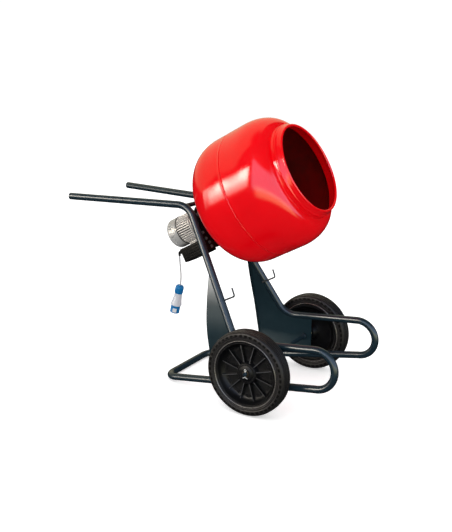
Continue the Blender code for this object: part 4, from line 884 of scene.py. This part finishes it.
def fin_ring(s, shrink):
    return [bm.verts.new(DRUM @ Vector(((r - shrink) * math.cos(a), (r - shrink) * math.sin(a), s))) for r, a in section]


rings = [fin_ring(0.6905, 0.0010), fin_ring(0.6915, 0.0), fin_ring(0.7773, 0.0), fin_ring(0.7783, 0.0010)]
inside = [[bm.verts.new(DRUM @ Vector((inner * math.cos(a), inner * math.sin(a), s))) for _, a in section] for s in (0.7783, 0.6905)]
loop_rings = rings + inside
n = len(section)
for i in range(len(loop_rings)):
    a, b = loop_rings[i], loop_rings[(i + 1) % len(loop_rings)]
    for k in range(n):
        m = (k + 1) % n
        bm.faces.new((a[k], a[m], b[m], b[k]))
# terminal pad under the switch box, end collars
slab(bm, (BOX_TOP + 0.0005, -0.0290, 0.7110), (-0.0640, 0.0290, 0.7640), DRUM, 0.0012, 2)
lathe(bm, [(0.0640, 0.6904), (0.0728, 0.6904), (0.0735, 0.6911), (0.0735, 0.6950), (0.0728, 0.6957), (0.0640, 0.6957)], 96, DRUM)
lathe(bm, [(0.0640, 0.7722), (0.0742, 0.7722), (0.0746, 0.7728), (0.0746, 0.7780), (0.0740, 0.7784), (0.0640, 0.7784)], 96, DRUM, mat=1)
for a in (45, 135, 225, 315):
    turn = Matrix.Rotation(math.radians(a), 4, "Z")
    mm = DRUM @ turn
    slab(bm, (0.0655, -0.0055, 0.6904), (0.0728, 0.0055, 0.7050), mm, 0.0014, 2)
    slab(bm, (0.0655, -0.0055, 0.7640), (0.0736, 0.0055, 0.7784), mm, 0.0014, 2)
# the valleys between the fins take the dark material: painted shade
for f in bm.faces:
    c = DRUM.inverted() @ f.calc_center_median()
    if math.hypot(c.x, c.y) < 0.0668 and 0.694 < c.z < 0.775 and f.material_index == 0:
        f.material_index = 1
finish_piece(to_object("motor_case", bm, [M["alu"], M["joint"]], sharp=28), "chassis", "cast_aluminium", "motor_housing")

# fan cover: drawn sheet cap with a rolled lip and radial vents
bm = bmesh.new()
outer = [(0.0746, 0.7789), (0.0757, 0.7790), (0.0762, 0.7797), (0.0762, 0.7820), (0.0756, 0.7830), (0.0755, 0.7860), (0.0755, 0.8080), (0.0755, 0.8200), (0.0755, 0.8240), (0.0752, 0.8282), (0.0742, 0.8320), (0.0725, 0.8356),
         (0.0700, 0.8386), (0.0668, 0.8408), (0.0630, 0.8421), (0.0590, 0.8432), (0.0555, 0.8445), (0.0520, 0.8449)]
STEP = 144
faces = lathe(bm, outer, STEP, DRUM, closed=False)
side_row = outer.index((0.0755, 0.7860))
rs = [0.0520, 0.0465, 0.0410, 0.0355, 0.0300, 0.0240, 0.0190, 0.0120, 0.0]
zs = [0.8449, 0.8450, 0.8450, 0.8450, 0.8450, 0.8450, 0.8448, 0.8448, 0.8448]
verts_by = {}


def cv(i, k):
    k %= STEP
    if rs[i] == 0:
        k = 0
    if (i, k) not in verts_by:
        a = 2 * math.pi * k / STEP
        verts_by[(i, k)] = bm.verts.new(DRUM @ Vector((rs[i] * math.cos(a), rs[i] * math.sin(a), zs[i])))
    return verts_by[(i, k)]


for i in range(len(rs) - 1):
    for k in range(STEP):
        # eighteen vents, three rows each, cut through the face
        vent = k % 8 in (2, 3, 4) and i in (0, 1, 3, 4)
        if vent:
            continue
        quad = [cv(i, k), cv(i, k + 1), cv(i + 1, k + 1), cv(i + 1, k)]
        quad = list(dict.fromkeys(quad))
        bm.faces.new(quad)
# short slots round the side, near the rolled lip
slots = [faces[(side_row + row) * STEP + k] for row in (1, 2) for k in range(STEP) if k % 6 in (2,) and (row == 1)]
bmesh.ops.delete(bm, geom=slots, context="FACES")
bmesh.ops.remove_doubles(bm, verts=bm.verts, dist=1e-6)
cover = to_object("fan_cowl", bm, M["cowl"], sharp=40)
mod = cover.modifiers.new("sheet", "SOLIDIFY")
mod.thickness, mod.offset = 0.0012, -1.0
finish_piece(bake(cover, 40), "chassis", "fan_cover", "fan_cover")

# -------------------------------------------------------------- switch box
bm = bmesh.new()
slab(bm, (BOX_BOTTOM, Y0, S0), (BOX_TOP, Y1, S1), DRUM, 0.0028, 3)
# raised bars on the two faces people see
for k in range(5):
    u = BOX_BOTTOM + 0.0085 + k * 0.0124
    slab(bm, (u, Y0 - 0.0024, S0 + 0.006), (u + 0.0048, Y0 + 0.0010, S1 - 0.006), DRUM, 0.0009, 2)
for k in range(6):
    y = Y0 + 0.0085 + k * 0.0145
    slab(bm, (BOX_BOTTOM - 0.0018, y, S0 + 0.006), (BOX_BOTTOM + 0.0010, y + 0.0050, S1 - 0.006), DRUM, 0.0008, 2)
finish_piece(to_object("control_box", bm, M["black"], sharp=30), "chassis", "black_plastic", "switch_box")
MID = (BOX_TOP + BOX_BOTTOM) / 2
bm = bmesh.new()
# lid built as a frame round the two button holes
hole, depth0, depth1 = 0.0113, Y1 + GAP, Y1 + 0.0125
sections = [(S0, 0.751), (0.751, S1)]
centres = [0.731, 0.771]
for (a, b), c in zip(sections, centres):
    N = 32
    inner_pts, outer_pts = [], []
    for k in range(N):
        t = 2 * math.pi * (k + 0.5) / N
        dx, ds = math.cos(t), math.sin(t)
        inner_pts.append((MID + hole * dx, c + hole * ds))
        reach_x = (BOX_TOP - MID) / abs(dx) if abs(dx) > 1e-9 else 1e9
        reach_s = ((b - c) if ds > 0 else (c - a)) / abs(ds) if abs(ds) > 1e-9 else 1e9
        q = min(reach_x, reach_s)
        outer_pts.append((MID + q * dx, c + q * ds))
    # the rectangle's corners
    def ring(pts, y):
        return [bm.verts.new(DRUM @ Vector((p[0], y, p[1]))) for p in pts]
    i0, i1 = ring(inner_pts, depth0), ring(inner_pts, depth1)
    o0, o1 = ring(outer_pts, depth0), ring(outer_pts, depth1)
    for k in range(N):
        m = (k + 1) % N
        bm.faces.new((i1[k], i1[m], o1[m], o1[k]))
        bm.faces.new((i0[m], i0[k], o0[k], o0[m]))
        bm.faces.new((i0[k], i0[m], i1[m], i1[k]))
        bm.faces.new((o0[m], o0[k], o1[k], o1[m]))
    corners = [(BOX_TOP, a), (BOX_TOP, b), (BOX_BOTTOM, b), (BOX_BOTTOM, a)]
    for cx, cs in corners:
        near = sorted(range(N), key=lambda k: math.hypot(outer_pts[k][0] - cx, outer_pts[k][1] - cs))[:2]
        for y, ringv in ((depth0, o0), (depth1, o1)):
            v = bm.verts.new(DRUM @ Vector((cx, y, cs)))
            try:
                bm.faces.new((ringv[near[0]], ringv[near[1]], v))
            except ValueError:
                pass
        p0, p1 = near
        va = [w for w in bm.verts][-2:]
        for q in (p0, p1):
            bm.faces.new((o0[q], o1[q], va[1], va[0]))
bmesh.ops.remove_doubles(bm, verts=bm.verts, dist=1e-6)
for x in (BOX_BOTTOM + 0.008, BOX_TOP - 0.008):
    for s in (S0 + 0.008, S1 - 0.008):
        mm = DRUM @ Matrix.Translation((x, depth1 - 0.0004, s)) @ Matrix.Rotation(-math.pi / 2, 4, "X")
        lathe(bm, [(0, 0), (0.0042, 0), (0.0042, 0.0012), (0.0036, 0.0023), (0.0016, 0.0028), (0.0014, 0.0018), (0, 0.0018)], 24, mm, closed=False, mat=1)
# shroud lips round the two buttons
for c in centres:
    mm = DRUM @ Matrix.Translation((MID, depth1, c)) @ Matrix.Rotation(-math.pi / 2, 4, "X")
    lathe(bm, [(0.0113, -0.0005), (0.0145, -0.0005), (0.0145, 0.0012), (0.0140, 0.0018), (0.0118, 0.0018), (0.0113, 0.0012)], 40, mm)
finish_piece(to_object("control_lid", bm, [M["black"], M["zinc"]], sharp=30), "chassis", "black_plastic", "switch_box_cover")
for node, s, key, slot_name in (("start_button", 0.731, "green", "button_green"), ("stop_button", 0.771, "stop", "button_red")):
    bm = bmesh.new()
    mm = DRUM @ Matrix.Translation((MID, 0, s)) @ Matrix.Rotation(-math.pi / 2, 4, "X")
    lathe(bm, [(0, 0.0385), (0.0060, 0.0385), (0.0060, 0.0445), (0.0104, 0.0450), (0.0108, 0.0455), (0.0108, 0.0560), (0.0105, 0.0573), (0.0096, 0.0584), (0.0082, 0.0589), (0.0060, 0.0586), (0.0030, 0.0582), (0, 0.0581)], 48, mm, closed=False)
    finish_piece(to_object(f"{node}_cap", bm, M[key]), node, slot_name, node)

# ------------------------------------------------------- gland, cord, plug
down = Vector((-math.cos(TILT), 0, math.sin(TILT)))
elbow = [Vector((GLAND[0], GLAND[1], S1 + GAP)), Vector((GLAND[0], GLAND[1], 0.8495))]
elbow.append(elbow[1] + down * 0.0165)
pipe_path = fillet(elbow, [0.010], 6)
total = sum((b - a).length for a, b in zip(pipe_path, pipe_path[1:]))
bm = bmesh.new()


def sleeve_r(run):
    """Ribbed strain relief that thins towards the cord."""
    t = run / total
    r = 0.0100 - 0.0042 * max(0.0, (t - 0.35) / 0.65)
    return r


dense = []
for a, b in zip(pipe_path, pipe_path[1:]):
    k = max(1, int((b - a).length / 0.0008))
    dense += [a.lerp(b, i / k) for i in range(k)]
dense.append(pipe_path[-1])


def ribbed(run):
    r = sleeve_r(run)
    phase = (run / 0.0034) % 1.0
    return r - (0.0009 if phase < 0.36 and run > 0.020 and run < total - 0.002 else 0.0)


sweep(bm, dense, ribbed, 28, DRUM)
flats = 6
mm = DRUM @ Matrix.Translation((GLAND[0], GLAND[1], 0))
lathe(bm, [(0, S1 + GAP), (0.0140, S1 + GAP), (0.0150, S1 + 0.0011), (0.0150, S1 + 0.0076), (0.0140, S1 + 0.0085), (0, S1 + 0.0085)], flats, mm, closed=False)
lathe(bm, [(0, S1 + 0.0070), (0.0128, S1 + 0.0070), (0.0128, S1 + 0.0165), (0.0122, S1 + 0.0185), (0.0100, S1 + 0.0190), (0, S1 + 0.0190)], 40, mm, closed=False)
for k in range(12):
    turn = mm @ Matrix.Rotation(2 * math.pi * k / 12, 4, "Z")
    slab(bm, (0.0118, -0.0011, S1 + 0.0092), (0.01345, 0.0011, S1 + 0.0162), turn, 0.0003, 1)
finish_piece(to_object("gland_and_boot", bm, M["black"], sharp=35), "chassis", "black_plastic", "cable_gland")

exit_point = DRUM @ elbow[-1]
plug_dir = Vector((-math.sin(PLUG_TILT), 0, -math.cos(PLUG_TILT)))
start = Vector((exit_point.x, exit_point.y, exit_point.z - GAP))
end = PLUG_TOP - plug_dir * GAP
reach = (end - start).length


def cord_point(t):
    h00, h10, h01, h11 = 2 * t**3 - 3 * t**2 + 1, t**3 - 2 * t**2 + t, -2 * t**3 + 3 * t**2, t**3 - t**2
    return start * h00 + Vector((0, 0, -1)) * reach * h10 + end * h01 + plug_dir * reach * h11


# the sheath runs on for 20 mm inside the plug's nut, as far as its clamp
pts = [cord_point(k / 32) for k in range(33)] + [end + plug_dir * 0.005 * k for k in range(1, 5)]
curve = bpy.data.curves.new("mains_cord", "CURVE")
curve.dimensions = "3D"
spline = curve.splines.new("POLY")
spline.points.add(len(pts) - 1)
for p, q in zip(spline.points, pts):
    p.co = (*q, 1.0)
curve.bevel_depth, curve.bevel_resolution, curve.use_fill_caps = 0.004, 6, True
spline.use_smooth = True
curve.materials.append(M["cord"])
cord_obj = bpy.data.objects.new("mains_cord", curve)
scene.collection.objects.link(cord_obj)
finish_piece(cord_obj, "chassis", "cord_grey", "power_cord")

PLUG = Matrix.Translation(PLUG_TOP) @ plug_dir.to_track_quat("Z", "Y").to_matrix().to_4x4()
bm = bmesh.new()
lathe(bm, [(0, 0), (0.0052, 0), (0.0100, 0.0004), (0.0140, 0.0012), (0.0163, 0.0024), (0.0186, 0.0044), (0.0202, 0.0075), (0.0209, 0.0110), (0.0211, 0.0150), (0.0211, 0.0425), (0.0206, 0.0440), (0.0190, 0.0449), (0, 0.0449)], 72, PLUG, closed=False)
for k in range(24):
    turn = PLUG @ Matrix.Rotation(2 * math.pi * k / 24, 4, "Z")
    slab(bm, (0.0200, -0.0014, 0.0125), (0.02195, 0.0014, 0.0405), turn, 0.0006, 2)
finish_piece(to_object("plug_gland_nut", bm, M["blue"]), "chassis", "plug_blue", "plug_nut")
bm = bmesh.new()
lathe(bm, [(0, 0.0453), (0.0192, 0.0453), (0.0200, 0.0460), (0.0201, 0.0500), (0.0204, 0.0560), (0.0214, 0.0660), (0.0229, 0.0790), (0.0249, 0.0910), (0.0268, 0.0995), (0.0279, 0.1036), (0.0283, 0.1062),
           (0.0285, 0.1085), (0.0285, 0.1110), (0.0281, 0.1120), (0.0272, 0.1125), (0, 0.1125)], 72, PLUG, closed=False)
for k in range(2):
    turn = PLUG @ Matrix.Rotation(math.radians(20 + 180 * k), 4, "Z")
    slab(bm, (0.0180, -0.0040, 0.0520), (0.0222, 0.0040, 0.0700), turn, 0.0012, 2)
finish_piece(to_object("plug_shell", bm, M["grey"]), "chassis", "plug_grey", "plug_body")
bm = bmesh.new()
lathe(bm, [(0.0216, 0.1128), (0.0238, 0.1128), (0.0241, 0.1134), (0.0243, 0.1165), (0.0247, 0.1190), (0.0248, 0.1225), (0.0242, 0.1240), (0.0240, 0.1262), (0.0243, 0.1280), (0.0244, 0.1500), (0.0248, 0.1514), (0.0248, 0.1542), (0.0244, 0.1549), (0.0222, 0.1549), (0.0216, 0.1543)], 72, PLUG)
near = PLUG.to_3x3().inverted() @ Vector((0.45, -0.89, 0.0))
turn = PLUG @ Matrix.Rotation(math.atan2(near.y, near.x), 4, "Z")
slab(bm, (0.0228, -0.0105, 0.1265), (0.02480, 0.0105, 0.1490), turn, 0.0008, 2, mat=1)
finish_piece(to_object("plug_collar", bm, [M["blue"], M["white"]]), "chassis", "plug_blue", "plug_sleeve")
bm = bmesh.new()
lathe(bm, [(0, 0.1129), (0.0208, 0.1129), (0.0210, 0.1133), (0.0210, 0.1168), (0.0205, 0.1174), (0.0120, 0.1175), (0, 0.1175)], 56, PLUG, closed=False)
for k in range(3):
    a = math.radians(90 + 120 * k)
    mm = PLUG @ Matrix.Translation((0.0125 * math.cos(a), 0.0125 * math.sin(a), 0))
    lathe(bm, [(0, 0.1150), (0.0040, 0.1150), (0.0040, 0.1182), (0.0036, 0.1186), (0, 0.1186)], 24, mm, closed=False)
    lathe(bm, [(0, 0.1160), (0.0028, 0.1160), (0.0028, 0.1493), (0.0022, 0.1506), (0.0012, 0.1510), (0, 0.1510)], 20, mm, closed=False, mat=1)
finish_piece(to_object("plug_pins", bm, [M["white"], M["zinc"]]), "chassis", "plug_grey", "plug_contacts")

# materials of the CAD nodes that stay (inner parts seen only when opened up)
STAY = {
    "drum_shaft": "steel", "output_gear": "steel", "layshaft": "steel", "layshaft_gear": "steel", "motor_shaft": "steel", "rotor_core": "steel",
    "cooling_fan": "black", "shaft_seal": "seal", "output_bearing_front": "steel", "output_bearing_rear": "steel", "motor_bearing_front": "steel",
    "motor_bearing_rear": "steel", "stator": "copper", "motor_end_shield": "alu", "switch_block": "grey",
}
for node, key in STAY.items():
    obj = NODES[node]
    obj.data.materials.clear()
    obj.data.materials.append(M[key])

# --------------------------------------------------------- floor and light
floor_mat = bpy.data.materials.new("studio_floor")
floor_mat.use_nodes = True
nt = floor_mat.node_tree
noise = nt.nodes.new("ShaderNodeTexNoise")
noise.inputs["Scale"].default_value = 3.0
ramp = nt.nodes.new("ShaderNodeValToRGB")
ramp.color_ramp.elements[0].color = (0.955, 0.955, 0.955, 1)
ramp.color_ramp.elements[1].color = (0.965, 0.965, 0.965, 1)
nt.links.new(noise.outputs["Fac"], ramp.inputs["Fac"])
nt.links.new(ramp.outputs["Color"], nt.nodes["Principled BSDF"].inputs["Base Color"])
nt.nodes["Principled BSDF"].inputs["Roughness"].default_value = 0.95
nt.nodes["Principled BSDF"].inputs["Specular IOR Level"].default_value = 0.0
nt.nodes["Principled BSDF"].inputs["Emission Color"].default_value = (1, 1, 1, 1)
nt.nodes["Principled BSDF"].inputs["Emission Strength"].default_value = 0.45
bm = bmesh.new()
R = 14.0
centre = bm.verts.new((0, 0, -0.0006))
ringv = [bm.verts.new((R * math.cos(2 * math.pi * k / 96), R * math.sin(2 * math.pi * k / 96), -0.0006)) for k in range(96)]
for k in range(96):
    bm.faces.new((centre, ringv[k], ringv[(k + 1) % 96]))
floor = to_object("studio_floor", bm, floor_mat, smooth=False)
floor.visible_glossy = False
floor.visible_diffuse = False

world = bpy.data.worlds.new("studio")
scene.world = world
world.use_nodes = True
wt = world.node_tree
wt.nodes.clear()
N = wt.nodes.new
L = wt.links.new


def math_node(op, a, b=None, c=None, clamp=False):
    n = N("ShaderNodeMath")
    n.operation = op
    n.use_clamp = clamp
    for i, v in enumerate((a, b, c)):
        if v is None:
            continue
        if isinstance(v, (int, float)):
            n.inputs[i].default_value = v
        else:
            L(v, n.inputs[i])
    return n.outputs[0]


sep = N("ShaderNodeSeparateXYZ")
tex = N("ShaderNodeTexCoord")
L(tex.outputs["Generated"], sep.inputs[0])
X, Y, Z = sep.outputs
az = math_node("MULTIPLY", math_node("ARCTAN2", X, math_node("MULTIPLY", Y, -1.0)), 180 / math.pi)
el = math_node("MULTIPLY", math_node("ARCSINE", math_node("MINIMUM", math_node("MAXIMUM", Z, -1.0), 1.0)), 180 / math.pi)


def step(value, edge, width):
    """0 below the edge, 1 above it, over a soft width."""
    n = N("ShaderNodeMapRange")
    n.interpolation_type = "SMOOTHSTEP"
    L(value, n.inputs["Value"])
    if isinstance(edge, (int, float)):
        n.inputs["From Min"].default_value = edge - width / 2
        n.inputs["From Max"].default_value = edge + width / 2
    else:
        L(math_node("SUBTRACT", edge, width / 2), n.inputs["From Min"])
        L(math_node("ADD", edge, width / 2), n.inputs["From Max"])
    return n.outputs["Result"]


def inside(value, lo, hi, width):
    return math_node("MULTIPLY", step(value, lo, width), math_node("SUBTRACT", 1.0, step(value, hi, width)))


def inv(v):
    return math_node("SUBTRACT", 1.0, v)


# a tall bright panel at the rear right: top edge sinks to either end
top = math_node("ADD", math_node("MULTIPLY", math_node("ADD", az, 61.0), 0.70), 6.0)
bot = math_node("ADD", math_node("MULTIPLY", math_node("ADD", az, 50.0), 0.47), -11.0)
panel = math_node("MULTIPLY", inside(az, -62.0, -19.0, 5.0), math_node("MULTIPLY", inv(step(el, top, 5.0)), step(el, bot, 7.0)))
# its left half is dimmer, and it fades downwards
panel = math_node("MULTIPLY", panel, math_node("ADD", 0.24, math_node("MULTIPLY", step(az, -43.0, 12.0), 0.76)))
panel = math_node("MULTIPLY", panel, math_node("ADD", 0.26, math_node("MULTIPLY", step(math_node("SUBTRACT", el, bot), 11.0, 16.0), 0.74)))
# a wide dimmer panel in front
side_top = math_node("ADD", math_node("MULTIPLY", math_node("SUBTRACT", az, 27.0), -0.15), 48.0)
front = math_node("MULTIPLY", inside(az, -10.0, 124.0, 7.0), math_node("MULTIPLY", inv(step(el, side_top, 10.0)), step(el, 1.0, 12.0)))
edge = math_node("MULTIPLY", inside(az, -2.0, 104.0, 16.0), inside(el, -11.0, 7.0, 9.0))
# warm wall at the back, warm light from above behind
rear = math_node("MULTIPLY", inv(step(az, -55.0, 6.0)), math_node("MULTIPLY", step(el, 2.0, 6.0), inv(step(el, 68.0, 14.0))))


def rgb(colour, weight):
    n = N("ShaderNodeMix")
    n.data_type = "RGBA"
    n.inputs[6].default_value = (0, 0, 0, 1)
    n.inputs[7].default_value = (*colour, 1)
    L(weight, n.inputs[0])
    return n.outputs[2]


def add(a, b):
    n = N("ShaderNodeMix")
    n.data_type = "RGBA"
    n.blend_type = "ADD"
    n.inputs[0].default_value = 1.0
    L(a, n.inputs[6])
    L(b, n.inputs[7])
    n.clamp_result = False
    return n.outputs[2]


total_c = add(rgb((27.0, 24.5, 21.0), panel), rgb((1.75, 2.15, 3.0), front))
total_c = add(total_c, rgb((3.3, 3.1, 1.6), edge))
total_c = add(total_c, rgb((0.66, 0.60, 0.38), rear))
base = N("ShaderNodeRGB")
base.outputs[0].default_value = (0.014, 0.015, 0.016, 1)
total_c = add(total_c, base.outputs[0])
gloss_bg = N("ShaderNodeBackground")
L(total_c, gloss_bg.inputs["Color"])
soft_bg = N("ShaderNodeBackground")
up_n = step(el, -16.0, 60.0)
soft_c = add(rgb((0.76, 0.76, 0.76), math_node("ADD", 1.0, 0.0)), rgb((0.20, 0.20, 0.20), up_n))
L(soft_c, soft_bg.inputs["Color"])
soft_bg.inputs["Strength"].default_value = 1.0
white_bg = N("ShaderNodeBackground")
white_bg.inputs["Color"].default_value = (1.0, 1.0, 1.0, 1)
white_bg.inputs["Strength"].default_value = 1.05
path = N("ShaderNodeLightPath")
mix1 = N("ShaderNodeMixShader")
L(path.outputs["Is Glossy Ray"], mix1.inputs[0])
L(soft_bg.outputs[0], mix1.inputs[1])
L(gloss_bg.outputs[0], mix1.inputs[2])
mix2 = N("ShaderNodeMixShader")
L(path.outputs["Is Camera Ray"], mix2.inputs[0])
L(mix1.outputs[0], mix2.inputs[1])
L(white_bg.outputs[0], mix2.inputs[2])
out = N("ShaderNodeOutputWorld")
L(mix2.outputs[0], out.inputs["Surface"])


def lamp(name, at, target, size, power, colour=(1, 1, 1)):
    data = bpy.data.lights.new(name, "AREA")
    data.energy, data.size, data.color = power, size, colour
    obj = bpy.data.objects.new(name, data)
    scene.collection.objects.link(obj)
    obj.location = at
    obj.rotation_mode = "QUATERNION"
    obj.rotation_quaternion = (Vector(target) - Vector(at)).to_track_quat("-Z", "Y")
    obj.visible_glossy = False
    return obj


lamp("key", (0.3, -2.6, 3.6), (0, 0, 0.6), 2.6, 26, (1.0, 0.99, 0.97))
lamp("fill", (-2.6, 1.2, 2.6), (0, 0, 0.6), 2.4, 12, (0.96, 0.98, 1.0))

scene.view_settings.view_transform = "Standard"
scene.view_settings.look = "None"
